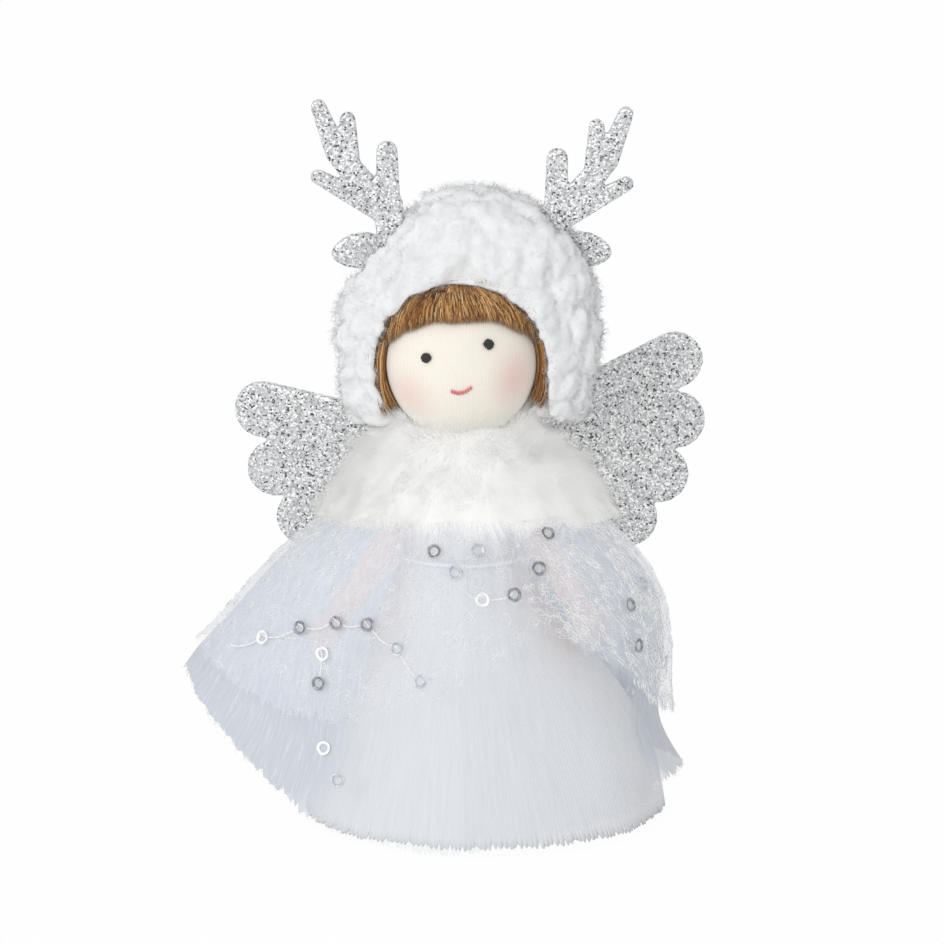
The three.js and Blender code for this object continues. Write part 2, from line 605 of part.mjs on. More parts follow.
// Hair lies on the ball between two longitudes, from a lower to an upper latitude
function hairPatch(fromLongitude, toLongitude, lowerAt, upperAt) {
  const columns = Math.ceil((toLongitude - fromLongitude) / HAIR_FACET_ANGLE);
  const rows = Math.ceil((FRINGE_TOP - fringeEdge(FRINGE_HALF_WIDTH)) / HAIR_FACET_ANGLE);
  const shell = (radius) => {
    const points = [];
    for (let column = 0; column <= columns; column += 1) {
      const longitude = mix(fromLongitude, toLongitude, column / columns);
      for (let row = 0; row <= rows; row += 1) {
        const latitude = mix(lowerAt(longitude), upperAt(longitude), row / rows);
        points.push(onHead(radius, longitude, latitude));
      }
    }
    return points;
  };
  const inner = HEAD_RADIUS + SEAT_GAP;
  const points = [...shell(inner + HAIR_THICKNESS), ...shell(inner)];
  const under = points.length / 2;
  const at = (column, row) => column * (rows + 1) + row;
  const triangles = [];
  const quad = (a, b, c, d) => triangles.push(a, b, c, a, c, d);
  for (let column = 0; column < columns; column += 1) {
    for (let row = 0; row < rows; row += 1) {
      const corners = [at(column, row), at(column + 1, row), at(column + 1, row + 1), at(column, row + 1)];
      quad(...corners);
      quad(...corners.map((corner) => corner + under).reverse());
    }
    quad(at(column, 0), at(column, 0) + under, at(column + 1, 0) + under, at(column + 1, 0));
    quad(at(column, rows), at(column + 1, rows), at(column + 1, rows) + under, at(column, rows) + under);
  }
  for (let row = 0; row < rows; row += 1) {
    quad(at(0, row), at(0, row + 1), at(0, row + 1) + under, at(0, row) + under);
    quad(at(columns, row), at(columns, row) + under, at(columns, row + 1) + under, at(columns, row + 1));
  }
  const geometry = new THREE.BufferGeometry().setFromPoints(points);
  geometry.setIndex(triangles);
  return geometry;
}

function fringeEdge(longitude) {
  const beyond = Math.max(0, Math.abs(longitude) - FRINGE_LEVEL) / (FRINGE_HALF_WIDTH - FRINGE_LEVEL);
  return FRINGE_LATITUDE - FRINGE_DROOP * beyond ** FRINGE_BEND;
}

function addHair(head) {
  const fringe = hairPatch(-FRINGE_HALF_WIDTH, FRINGE_HALF_WIDTH, fringeEdge, () => FRINGE_TOP);
  piece('hair_fringe', fringe, HAIR, head);
  const gapAngle = THREE.MathUtils.radToDeg(2 * SEAT_GAP / HEAD_RADIUS);
  const lockTop = (longitude) => fringeEdge(longitude) - gapAngle;
  piece('hair_lock_left', hairPatch(-LOCK_TO, -LOCK_FROM, () => LOCK_BOTTOM, lockTop), HAIR, head);
  piece('hair_lock_right', hairPatch(LOCK_FROM, LOCK_TO, () => LOCK_BOTTOM, lockTop), HAIR, head);
}

// Hood, with the antlers and ears in the seam between its two panels
const cavityRadius = HEAD_RADIUS + SEAT_GAP + HAIR_THICKNESS + HOOD_LINING_GAP;
const hoodCentre = new THREE.Vector3(HOOD_SHIFT, HOOD_SEAM_Y, headCentre.z + HOOD_LIFT);
const hoodHalfWidth = cavityRadius + HOOD_SIDE_WALL;
const hoodHalfHeight = cavityRadius + HOOD_CROWN_WALL;
const hoodBackDepth = cavityRadius + HOOD_BACK_WALL;

// The hood's reach from its centre; it slopes from the crown to the left and is fuller at the right
function hoodReach(direction) {
  const depth = direction.y < 0 ? HOOD_FRONT_DEPTH : hoodBackDepth;
  const shoulder = 2 * Math.abs(direction.x) * Math.max(0, direction.z);
  const roundness = HOOD_ROUNDNESS + shoulder * (direction.x < 0 ? -HOOD_LEFT_SLOPE : HOOD_RIGHT_FULLNESS);
  const parts = [direction.x / hoodHalfWidth, direction.y / depth, direction.z / hoodHalfHeight];
  const sum = parts.reduce((total, part) => total + Math.abs(part) ** roundness, 0);
  return sum ** (-1 / roundness);
}

function hoodForm() {
  const geometry = new THREE.SphereGeometry(1, HOOD_FACETS, HOOD_ROWS);
  const corners = geometry.attributes.position;
  for (let index = 0; index < corners.count; index += 1) {
    const direction = new THREE.Vector3().fromBufferAttribute(corners, index).normalize();
    const point = direction.clone().multiplyScalar(hoodReach(direction)).add(hoodCentre);
    corners.setXYZ(index, point.x, point.y, point.z);
  }
  return geometry;
}

// The hood's surface in the seam plane, at an angle from the crown, raised or sunk along that angle
function onSeam(angle, rise) {
  const direction = new THREE.Vector3(Math.sin(radians(angle)), 0, Math.cos(radians(angle)));
  return direction.clone().multiplyScalar(hoodReach(direction) + rise).add(hoodCentre);
}

// An antler in the seam plane, and an ear just behind it, each grown all round by a clearance
function antlerGeometry(side, angle, sink, grow) {
  const foot = onSeam(side * angle, -sink);
  const strips = TINES.map(([fromX, fromZ, toX, toZ, fromHalf, toHalf]) => {
    const strip = roundStrip(side * fromX, fromZ, side * toX, toZ, fromHalf + grow, toHalf + grow);
    return flatSheet(strip, SHEET_THICKNESS + 2 * grow);
  });
  return joined(strips).translate(foot.x, foot.y - SHEET_THICKNESS / 2 - grow, foot.z);
}

function earGeometry(side, angle, sink, grow) {
  const root = onSeam(side * angle, -sink);
  const tip = EAR_LENGTH + grow;
  const belly = EAR_LENGTH * EAR_BELLY;
  const swell = (EAR_WIDTH / 2 + grow) / EAR_PEAK;
  const taper = swell * EAR_TIP_ROUNDNESS;
  const shape = new THREE.Shape();
  shape.moveTo(-grow, 0);
  shape.bezierCurveTo(belly, swell, tip, taper, tip, 0);
  shape.bezierCurveTo(tip, -taper, belly, -swell, -grow, 0);
  const sheet = flatSheet(shape, SHEET_THICKNESS + 2 * grow);
  sheet.rotateY(side > 0 ? radians(EAR_DROOP) : Math.PI - radians(EAR_DROOP));
  return sheet.translate(root.x, root.y + SHEET_THICKNESS / 2 + SEAT_GAP - grow, root.z);
}

function addHood(head) {
  const sides = [
    ['left', [-1, ANTLER_LEFT_ANGLE, ANTLER_LEFT_SINK], [-1, EAR_LEFT_ANGLE, EAR_LEFT_SINK]],
    ['right', [1, ANTLER_RIGHT_ANGLE, ANTLER_RIGHT_SINK], [1, EAR_RIGHT_ANGLE, EAR_RIGHT_SINK]],
  ];
  const slots = [];
  for (const [name, antlerSeat, earSeat] of sides) {
    piece(`antler_${name}`, antlerGeometry(...antlerSeat, 0), GLITTER, head);
    piece(`ear_${name}`, earGeometry(...earSeat, 0), GLITTER, head);
    slots.push(antlerGeometry(...antlerSeat, SEAT_GAP), earGeometry(...earSeat, SEAT_GAP));
  }
  const reach = hoodHalfWidth + hoodHalfHeight;
  const bottom = capeTop + HOOD_CLEARANCE;
  const cavity = new THREE.SphereGeometry(cavityRadius, ROUND_FACETS, HOOD_ROWS).rotateX(Math.PI / 2);
  cavity.translate(headCentre.x, headCentre.y, headCentre.z);
  const arch = new THREE.Shape();
  arch.absarc(0, headCentre.z, FACE_OPENING_RADIUS, 0, Math.PI, false);
  arch.lineTo(-FACE_OPENING_RADIUS, 0);
  arch.lineTo(FACE_OPENING_RADIUS, 0);
  const opening = flatSheet(arch, reach).translate(0, -reach, 0);
  const seam = HOOD_SEAM_Y;
  const ahead = boxBetween([-reach, -reach, bottom], [reach, seam - SEAT_GAP / 2, headCentre.z + reach]);
  const behind = boxBetween([-reach, seam + SEAT_GAP / 2, bottom], [reach, reach, headCentre.z + reach]);
  piece('hood_front', cut(keepInside(hoodForm(), ahead), cavity, opening, ...slots), PLUSH, head);
  piece('hood_back', cut(keepInside(hoodForm(), behind), cavity, ...slots), PLUSH, head);
}

// Wings: one sheet in three parts, creased at both edges of the bridge that is glued to the cape's back
function wingGeometry() {
  const root = BRIDGE_WIDTH / 2;
  const feathers = Array.from({ length: FEATHER_COUNT }, (_, index) => {
    const heading = radians(FEATHER_ANGLE - index * FEATHER_STEP);
    const length = FEATHER_LENGTH - index * FEATHER_SHRINK;
    const tipX = root + length * Math.cos(heading);
    const tipZ = length * Math.sin(heading);
    const outline = [root, 0, tipX, tipZ, FEATHER_ROOT_WIDTH / 2, FEATHER_TIP_WIDTH / 2];
    return flatSheet(roundStrip(...outline), SHEET_THICKNESS);
  });
  const inner = boxBetween([-FEATHER_LENGTH, -SHEET_THICKNESS, -FEATHER_LENGTH],
    [root + SEAT_GAP, 2 * SHEET_THICKNESS, FEATHER_LENGTH]);
  const crease = new THREE.Vector3(root + SEAT_GAP / 2, SHEET_THICKNESS, 0);
  return cut(joined(feathers), inner).translate(-crease.x, -crease.y, -crease.z);
}

function addWings() {
  const wings = new THREE.Group();
  wings.position.set(WING_SHIFT, backSeat + SEAT_GAP, capeTop - WING_DROP);
  wings.rotation.y = -radians(WING_ROLL);
  ornament.add(wings);
  const corner = BRIDGE_WIDTH / 2;
  const edge = BRIDGE_HEIGHT / 2;
  const bridge = boxBetween([-corner, 0, -edge], [corner, SHEET_THICKNESS, edge]);
  piece('wing_bridge', bridge, GLITTER, wings);
  for (const [name, side] of [['wing_left', -1], ['wing_right', 1]]) {
    const hinge = new THREE.Group();
    hinge.position.set(side * (corner + SEAT_GAP / 2), SHEET_THICKNESS, 0);
    hinge.scale.x = side;
    hinge.rotation.z = side * radians(WING_SWEEP);
    wings.add(hinge);
    piece(name, wingGeometry(), GLITTER, hinge);
  }
}

// Sequins

// The place on the overlay that shows at x and z, on the doll's front or back
function overlaySeat(x, z, facing) {
  const shareAt = (azimuth) => {
    let [above, below] = [0, 1];
    for (let step = 0; step < HALVINGS; step += 1) {
      const middle = (above + below) / 2;
      if (drapePoint(azimuth, middle, 1)[1] > z) above = middle;
      else below = middle;
    }
    return above;
  };
  let [left, right] = [-Math.PI / 2, Math.PI / 2];
  const azimuthAt = (turn) => (facing > 0 ? turn : Math.PI - turn);
  for (let step = 0; step < HALVINGS; step += 1) {
    const middle = (left + right) / 2;
    const azimuth = azimuthAt(middle);
    const [radius, , shift] = drapePoint(azimuth, shareAt(azimuth), 1);
    if (radius * Math.sin(azimuth) + shift < x) left = middle;
    else right = middle;
  }
  return [azimuthAt(left), shareAt(azimuthAt(left))];
}

function onOverlay(azimuth, share) {
  const [radius, z, shift] = drapePoint(azimuth, share, 1);
  return around(radius, azimuth, z).add(new THREE.Vector3(shift, 0, 0));
}

function addSequin(name, x, drop, facing) {
  const [azimuth, share] = overlaySeat(x, GATHER_HEIGHT - drop * dropScale, facing);
  const step = 0.02;
  const place = onOverlay(azimuth, share);
  const across = onOverlay(azimuth + step, share).sub(onOverlay(azimuth - step, share));
  const below = onOverlay(azimuth, Math.min(1, share + step));
  const down = below.sub(onOverlay(azimuth, Math.max(0, share - step)));
  const normal = down.cross(across).normalize();
  const hole = SEQUIN_HOLE_RADIUS;
  const rimTop = SEQUIN_CUP + SEQUIN_THICKNESS;
  const rim = [[hole, 0], [SEQUIN_RADIUS, SEQUIN_CUP], [SEQUIN_RADIUS, rimTop], [hole, SEQUIN_THICKNESS],
    [hole, 0]];
  const sequin = piece(name, turned(rim, SEQUIN_FACETS), SILVER);
  sequin.position.copy(place).addScaledVector(normal, SEAT_GAP);
  sequin.quaternion.setFromUnitVectors(new THREE.Vector3(0, 0, 1), normal);
}

function addSequins() {
  const front = SEQUINS_FRONT.map((place) => [...place, 1]);
  const back = SEQUINS_BACK.map((place) => [...place, -1]);
  [...front, ...back].forEach(([x, drop, facing], index) => {
    addSequin(`sequin_${String(index + 1).padStart(2, '0')}`, x, drop, facing);
  });
}

addBody();
addSkirts();
addArm('arm_left', -1, ARM_LEFT_DROP, ARM_LEFT_SPLAY);
addArm('arm_right', 1, ARM_RIGHT_DROP, ARM_RIGHT_SPLAY);
piece('fur_cape', clothRing(capeSection, CAPE_FACETS), FUR);
addWings();
addSequins();
const head = new THREE.Group();
ornament.add(head);
addHeadBall(head);
addFace(head);
addHair(head);
addHood(head);

export default ornament;
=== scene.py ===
# %% [markdown]
# # A stuffed angel in a plush hood
# The ornament is a small cloth doll. Its head is a knit-covered ball, its clothes are plush, fur, tulle
# and a sheer overlay with ring sequins, and its wings, antlers and ears are cut from glitter sheet. The
# CAD frame already holds every size and joint, so this lesson only dresses it: each soft solid is
# replaced by a finer mesh in the same place, and each piece gets a material with its own texture.
# Lengths are in millimetres in the code, and MM turns them into Blender's metres.

# %% Load the frame
import math

import bpy
import numpy as np
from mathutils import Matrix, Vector, noise


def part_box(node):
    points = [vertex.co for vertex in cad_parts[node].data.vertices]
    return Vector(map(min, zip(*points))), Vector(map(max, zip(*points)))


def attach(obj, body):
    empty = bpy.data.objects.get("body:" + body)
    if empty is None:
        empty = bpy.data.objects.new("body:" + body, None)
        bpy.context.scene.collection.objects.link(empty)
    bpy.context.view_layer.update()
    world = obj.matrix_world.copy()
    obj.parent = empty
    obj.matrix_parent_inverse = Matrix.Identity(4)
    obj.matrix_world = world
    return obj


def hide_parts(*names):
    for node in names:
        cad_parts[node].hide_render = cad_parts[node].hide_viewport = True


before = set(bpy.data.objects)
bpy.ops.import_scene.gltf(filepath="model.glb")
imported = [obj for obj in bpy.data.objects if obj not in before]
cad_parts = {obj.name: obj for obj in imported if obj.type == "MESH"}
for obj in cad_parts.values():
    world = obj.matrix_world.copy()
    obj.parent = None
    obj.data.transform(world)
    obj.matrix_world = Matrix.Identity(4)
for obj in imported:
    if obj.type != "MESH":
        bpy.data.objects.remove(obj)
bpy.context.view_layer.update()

MM = 0.001
scene = bpy.context.scene
scene.view_settings.view_transform = "Standard"

# %% [markdown]
# ## Camera
# The photograph looks at the doll from a little above, from far enough away that hardly any perspective
# shows. A long lens two metres away gives that view, and its focal length follows from the width of the
# picture at the doll.

# %% Camera
VIEW_CENTRE = (2.4, 0.0, 79.15)
VIEW_ELEVATION = 13
VIEW_DISTANCE = 2000
VIEW_WIDTH = 212.9
SENSOR_WIDTH = 36

lens = bpy.data.cameras.new("camera")
lens.sensor_width = SENSOR_WIDTH
lens.lens = SENSOR_WIDTH * VIEW_DISTANCE / VIEW_WIDTH
camera = bpy.data.objects.new("camera", lens)
tilt = math.radians(VIEW_ELEVATION)
towards_camera = Vector((0, -math.cos(tilt), math.sin(tilt)))
camera.location = (Vector(VIEW_CENTRE) + towards_camera * VIEW_DISTANCE) * MM
camera.rotation_euler = (math.pi / 2 - tilt, 0, 0)
scene.collection.objects.link(camera)
scene.camera = camera
print("lens in mm:", round(lens.lens, 1))

# %% [markdown]
# ## Nodes and colours
# A material is a small graph. One helper adds a node, sets its options and links its inputs, so each
# material below reads as a list of what feeds what. Colours are picked as sRGB hex codes, as on a
# screen, and Blender calculates in linear light, so one function converts them.

# %% Node and colour helpers
def linear(code):
    channels = [int(code[start:start + 2], 16) / 255 for start in (0, 2, 4)]
    curved = [c / 12.92 if c <= 0.04045 else ((c + 0.055) / 1.055) ** 2.4 for c in channels]
    return (*curved, 1.0)


def set_stops(ramp, stops):
    while len(ramp.elements) < len(stops):
        ramp.elements.new(0.5)
    for element, (place, code) in zip(ramp.elements, stops):
        element.position = place
        element.color = linear(code)


# An input takes a plain value, another node's socket, or a node, which stands for its first output
def add_node(tree, kind, inputs=None, stops=(), **options):
    made = tree.nodes.new("ShaderNode" + kind)
    if stops:
        set_stops(made.color_ramp, stops)
    for name, value in options.items():
        setattr(made, name, value)
    for name, value in (inputs or {}).items():
        if isinstance(value, bpy.types.Node):
            value = value.outputs[0]
        if isinstance(value, bpy.types.NodeSocket):
            tree.links.new(value, made.inputs[name])
        else:
            made.inputs[name].default_value = value
    return made


def empty_material(name):
    material = bpy.data.materials.new(name)
    material.use_nodes = True
    material.node_tree.nodes.clear()
    return material, material.node_tree


def finish_material(tree, inputs):
    surface = add_node(tree, "BsdfPrincipled", inputs)
    add_node(tree, "OutputMaterial", {"Surface": surface})


# A material whose colour, and relief where it has any, follow one pattern
def patterned_material(name, kind, pattern, stops, finish, relief=None, **options):
    material, tree = empty_material(name)
    source = add_node(tree, kind, pattern, **options)
    if "Vector" in source.inputs:
        place = add_node(tree, "TexCoord").outputs["Object"]
        tree.links.new(place, source.inputs["Vector"])
    level = source.outputs["Fac"]
    inputs = {"Base Color": add_node(tree, "ValToRGB", {"Fac": level}, stops), **finish}
    if relief:
        strength, height = relief
        bump = add_node(tree, "Bump", {"Height": level, "Strength": strength, "Distance": height * MM})
        inputs["Normal"] = bump
    finish_material(tree, inputs)
    return material


# Texture scales from real sizes: of a noise or cell pattern, and of a wave texture's bands
def per_metre(size_mm):
    return 1 / (size_mm * MM)


def bands_apart(size_mm):
    return per_metre(size_mm) * math.pi / 10


WHITE = linear("FFFFFF")
print("white as linear light:", WHITE)

# %% [markdown]
# ## Light and floor
# A product photograph like this one is taken under a large soft lamp in a white room. The lamp stands at
# the left, in front and above, so the doll's right side falls into soft shade. The world gives the
# room's even light. The camera sees the floor as white paper through Light Path, with a trace of the
# doll's shadow left in it, so the paper needs no extra light on the doll.

# %% Light and floor
ROOM_LIGHT = 0.73
LAMP_POWER = 9.1
LAMP_SIZE = 0.9
LAMP_PLACE = (-0.8, -1.4, 0.66)
FLOOR_SIZE = 30
SHADOW_SHARE = 0.03


# 1 for rays from the camera, also by a mirror or through something clear, and 0 for the light on the doll
def seen_share(tree):
    path = add_node(tree, "LightPath").outputs
    mirrored = add_node(tree, "Math", {0: path["Is Glossy Ray"], 1: path["Is Transmission Ray"]},
                        operation="MAXIMUM")
    return add_node(tree, "Math", {0: path["Is Camera Ray"], 1: mirrored}, operation="MAXIMUM")


world = bpy.data.worlds.new("white_room")
scene.world = world
world.use_nodes = True
room = world.node_tree
room.nodes.clear()
even = add_node(room, "Background", {"Color": WHITE, "Strength": ROOM_LIGHT})
paper_white = add_node(room, "Background", {"Color": WHITE, "Strength": 1.0})
either = add_node(room, "MixShader", {0: seen_share(room), 1: even, 2: paper_white})
add_node(room, "OutputWorld", {"Surface": either})

lamp_data = bpy.data.lights.new("soft_lamp", "AREA")
lamp_data.energy = LAMP_POWER
lamp_data.size = LAMP_SIZE
lamp = bpy.data.objects.new("soft_lamp", lamp_data)
lamp.location = LAMP_PLACE
aim = Vector((0, 0, VIEW_CENTRE[2] * MM)) - lamp.location
lamp.rotation_euler = aim.to_track_quat("-Z", "Y").to_euler()
scene.collection.objects.link(lamp)

# White paper: matt and even, so it only shows the doll's faint shadow.
paper, tree = empty_material("white_paper")
share = add_node(tree, "Math", {0: seen_share(tree), 1: 1 - SHADOW_SHARE}, operation="MULTIPLY")
matt = add_node(tree, "BsdfDiffuse", {"Color": linear("F4F4F4")})
glow = add_node(tree, "Emission", {"Color": WHITE, "Strength": 1.0})
either = add_node(tree, "MixShader", {0: share, 1: matt, 2: glow})
add_node(tree, "OutputMaterial", {"Surface": either})

floor_mesh = bpy.data.meshes.new("floor")
half = FLOOR_SIZE / 2
floor_corners = [(-half, -half, 0), (half, -half, 0), (half, half, 0), (-half, half, 0)]
floor_mesh.from_pydata(floor_corners, [], [(0, 1, 2, 3)])
floor_mesh.materials.append(paper)
floor = bpy.data.objects.new("floor", floor_mesh)
scene.collection.objects.link(floor)
print("lamp distance in m:", round(aim.length, 2))

# %% [markdown]
# ## Mesh helpers
# Most pieces here are grids of points worked out with numpy: a cloth is rows and columns round the doll,
# and a hair is a thin tube along a few points. These helpers turn such arrays into meshes. The tubes
# have three sides and a pointed tip, which is plenty for a fibre thinner than a pixel.

# %% Mesh helpers
CLOTH_RADIUS = 40
SKIRT_LENGTH = 95
UP = np.array([0, 0, 1.0])
FLAT = np.array([1, 1, 0])
LAMP_SIDE = np.array(lamp.location.normalized())


def add_piece(name, mesh, material, body, slot, *nodes):
    mesh.name = name
    mesh.materials.clear()
    mesh.materials.append(material)
    piece = bpy.data.objects.new(name, mesh)
    scene.collection.objects.link(piece)
    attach(piece, body)
    if nodes:
        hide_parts(*nodes)
    return piece


# White fibres and sheer cloth pass the light on to what is beside them instead of shading it
def let_light_through(piece):
    piece.visible_shadow = False
    piece.visible_diffuse = False


def mesh_of(points, faces):
    mesh = bpy.data.meshes.new("piece")
    mesh.from_pydata((points * MM).tolist(), [], faces, shade_flat=False)
    return mesh


def ring_grid(rows, columns):
    index = np.arange(rows * columns).reshape(rows, columns)
    beside = np.roll(index, -1, axis=1)
    return np.stack([index[:-1], index[1:], beside[1:], beside[:-1]], axis=-1).reshape(-1, 4)


# Cloth round the doll with flat coordinates of its own: the length round, and by the share the length down
def cloth_mesh(points, share):
    rows, columns = points.shape[:2]
    mesh = mesh_of(points.reshape(-1, 3), ring_grid(rows, columns).tolist())
    across = np.linspace(0, 2 * np.pi, columns + 1) * CLOTH_RADIUS
    down = np.broadcast_to(share * SKIRT_LENGTH, (rows, columns))
    down = np.concatenate([down, down[:, :1]], axis=1)
    flat = np.stack(np.broadcast_arrays(across[None], down), axis=-1)
    corners = np.stack([flat[:-1, :-1], flat[1:, :-1], flat[1:, 1:], flat[:-1, 1:]], axis=2)
    layer = mesh.uv_layers.new(name="cloth")
    layer.data.foreach_set("uv", (corners.reshape(-1) * MM).astype(np.float32))
    return mesh


# One value a point, which a material can read by its name
def mark_points(mesh, name, values):
    layer = mesh.attributes.new(name, "FLOAT", "POINT")
    layer.data.foreach_set("value", np.asarray(values, np.float32).ravel())


def closed_ring_mesh(points):
    rows, columns = points.shape[:2]
    faces = ring_grid(rows, columns).tolist()
    faces.append(list(range(columns)))
    faces.append(list(range(rows * columns - 1, (rows - 1) * columns - 1, -1)))
    return mesh_of(points.reshape(-1, 3), faces)


def even_turns(count):
    return np.linspace(0, 2 * np.pi, count, endpoint=False)


def unit(vectors):
    return vectors / np.maximum(np.linalg.norm(vectors, axis=-1, keepdims=True), 1e-9)


# Climbs evenly from 0 at the start to 1 after the length; a negative length runs the other way
def fade(values, start, length):
    return np.clip((values - start) / length, 0, 1)


# 1 at the centre, and softly less on both sides
def bell(values, centre, width):
    return np.exp(-((values - centre) / width) ** 2)


# Thin tubes along paths. With a facing, a fibre is shaded like the fur's surface that it is part of, and
# with tones each fibre keeps one value that its material can read.
def tubes(paths, radii, sides=3, facing=None, tones=None):
    count, steps = paths.shape[:2]
    along = unit(np.gradient(paths, axis=1))
    aside = unit(np.cross(along, unit(np.array([0.31, 0.87, 0.39]))))
    across = np.cross(along, aside)
    turns = 2 * np.pi * np.arange(sides) / sides
    spokes = np.cos(turns)[:, None] * aside[:, :-1, None] + np.sin(turns)[:, None] * across[:, :-1, None]
    rings = paths[:, :-1, None] + np.asarray(radii)[..., None, None] * spokes
    points = np.concatenate([rings.reshape(count, -1, 3), paths[:, -1:]], axis=1)
    tip = sides * (steps - 1)
    faces = []
    for ring in range(0, tip - sides, sides):
        for side in range(sides):
            low, next_low = ring + side, ring + (side + 1) % sides
            faces += [(low, next_low, next_low + sides), (low, next_low + sides, low + sides)]
    for side in range(sides):
        faces.append((tip - sides + side, tip - sides + (side + 1) % sides, tip))
    for side in range(1, sides - 1):
        faces.append((0, side + 1, side))
    starts = np.arange(count)[:, None, None] * (tip + 1)
    mesh = mesh_of(points.reshape(-1, 3), (np.array(faces)[None] + starts).reshape(-1, 3).tolist())
    if facing is not None:
        mesh.normals_split_custom_set_from_vertices(np.repeat(facing, tip + 1, axis=0).tolist())
    if tones is not None:
        mark_points(mesh, "strand_tone", np.repeat(tones, tip + 1))
    return mesh


# Short threads that leave a cut edge along the cloth's slope and stray by chance
def loose_threads(root, further_in, lengths, straying, rng):
    slope = unit(root - further_in)
    length = rng.uniform(*lengths, len(root))[:, None]
    stray = unit(slope + straying * rng.normal(size=root.shape))
    return np.stack([root, root + slope * length * 0.4, root + (slope + stray) * length * 0.45], axis=1)


# Slow random waves, which make fibres and cloth uneven in the same way at every run
def drift(points, size, seed):
    rng = np.random.default_rng(seed)
    total = np.zeros(points.shape)
    waves = 6
    for _ in range(waves):
        heading = unit(rng.normal(size=3))
        length = size * rng.uniform(0.7, 1.5)
        total += np.cos((points @ heading)[..., None] * 2 * np.pi / length + rng.uniform(0, 2 * np.pi, 3))
    return total / math.sqrt(waves)


# A CAD solid's mesh, copied, evened out by a voxel remesh and smoothed
def soft_copy(node, voxel, smoothing):
    copy = bpy.data.objects.new(node + "_copy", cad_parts[node].data.copy())
    scene.collection.objects.link(copy)
    even_out = copy.modifiers.new("even_out", "REMESH")
    even_out.mode = "VOXEL"
    even_out.voxel_size = voxel * MM
    ease = copy.modifiers.new("ease", "SMOOTH")
    ease.iterations = smoothing
    mesh = bpy.data.meshes.new_from_object(copy.evaluated_get(bpy.context.evaluated_depsgraph_get()))
    bpy.data.objects.remove(copy)
    mesh.shade_smooth()
    return mesh


def read_points(mesh, what):
    values = np.empty(len(mesh.vertices) * 3)
    mesh.vertices.foreach_get(what, values)
    return values.reshape(-1, 3)


def points_of(mesh):
    return read_points(mesh, "co") / MM


def normals_of(mesh):
    return read_points(mesh, "normal")


def move_points(mesh, points):
    mesh.vertices.foreach_set("co", (points * MM).ravel())
    mesh.update()


# Random places on a mesh, more where the weight is larger, with the normals there
def scatter(mesh, weight, count, rng):
    mesh.calc_loop_triangles()
    corners = np.empty(len(mesh.loop_triangles) * 3, int)
    mesh.loop_triangles.foreach_get("vertices", corners)
    corners = corners.reshape(-1, 3)
    places, normals = points_of(mesh)[corners], normals_of(mesh)[corners]
    area = np.linalg.norm(np.cross(places[:, 1] - places[:, 0], places[:, 2] - places[:, 0]), axis=1)
    chance = area * weight(places.mean(axis=1), unit(normals.mean(axis=1)))
    chosen = rng.choice(len(corners), count, p=chance / chance.sum())
    shares = rng.dirichlet((1, 1, 1), count)[..., None]
    return (places[chosen] * shares).sum(axis=1), unit((normals[chosen] * shares).sum(axis=1))


# The middle and half the size of a CAD node's box
def middle_and_half(node):
    low, high = (np.array(corner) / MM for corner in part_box(node))
    return (low + high) / 2, (high - low) / 2


print("helpers ready")

# %% [markdown]
# ## Shapes shared with the CAD model
# The skirts hang along the same lines as the CAD cloth, so the finer cloth here fits between the arms,
# the sequins and the cape without any fitting. Azimuth is 0 at the doll's front and grows to the
# viewer's right.

# %% Hanging lines of the skirts
BODY_KNOTS = [(27, 1.5), (20.8, 30.75), (13.6, 60), (13.5, 72), (9.7, 79.3), (4.85, 82), (0, 82.3)]
GATHER_KNOT = (10.6, 79.3)
FRONT_LINE = [(17.3, 78.1), (23.3, 74.3), (27.3, 65.8), (30, 53.8), (33.5, 37.8),
              (37.5, 19.8), (42, 1.2)]
SIDE_LINE = [(17.3, 77.1), (23.8, 71.8), (33.8, 62.8), (41.8, 50.3), (43.3, 36.8),
             (42.1, 20.8), (47.6, 8.3)]
BACK_LINE = [(15.8, 76.3), (19.3, 70.3), (21.3, 60.8), (23.8, 48.8), (27.5, 32.8),
             (31.5, 16.8), (36, 2.8)]
FLARE_LINE = [(17.3, 77.1), (25.3, 71.6), (38.8, 63.5), (47.5, 55.8), (55, 47.8),
              (62.3, 40.8), (66, 36.6)]
FLARE_AZIMUTH = math.radians(-92)
FLARE_NARROWNESS = 7
LAYER_STEP = 1.05
FOLD_DEPTH = 1.5
FOLDS = ((7, 0.6, 0.6), (11, 0.4, 2.2))
HEM_TILT = 2.8
SKIRT_SHIFT = 2.2


# A smooth curve through the knots, at a share of the way along it
def hanging_line(knots, share):
    knots = np.array(knots, float)
    last = len(knots) - 1
    first = np.clip(np.floor(share * last).astype(int), 0, last - 1)
    step = (share * last - first)[..., None]
    before, start = knots[np.clip(first - 1, 0, last)], knots[first]
    end, after = knots[first + 1], knots[np.clip(first + 2, 0, last)]
    leave, arrive = (end - before) / 2, (after - start) / 2
    cubic = 2 * start - 2 * end + leave + arrive
    square = -3 * start + 3 * end - 2 * leave - arrive
    return ((cubic * step + square) * step + leave) * step + start


# Waves round the doll, each with its count, depth and start
def waves_round(azimuth, waves):
    return sum(depth * np.cos(count * azimuth + start) for count, depth, start in waves)


def around(radius, azimuth, z):
    return np.stack(np.broadcast_arrays(radius * np.sin(azimuth), -radius * np.cos(azimuth), z), axis=-1)


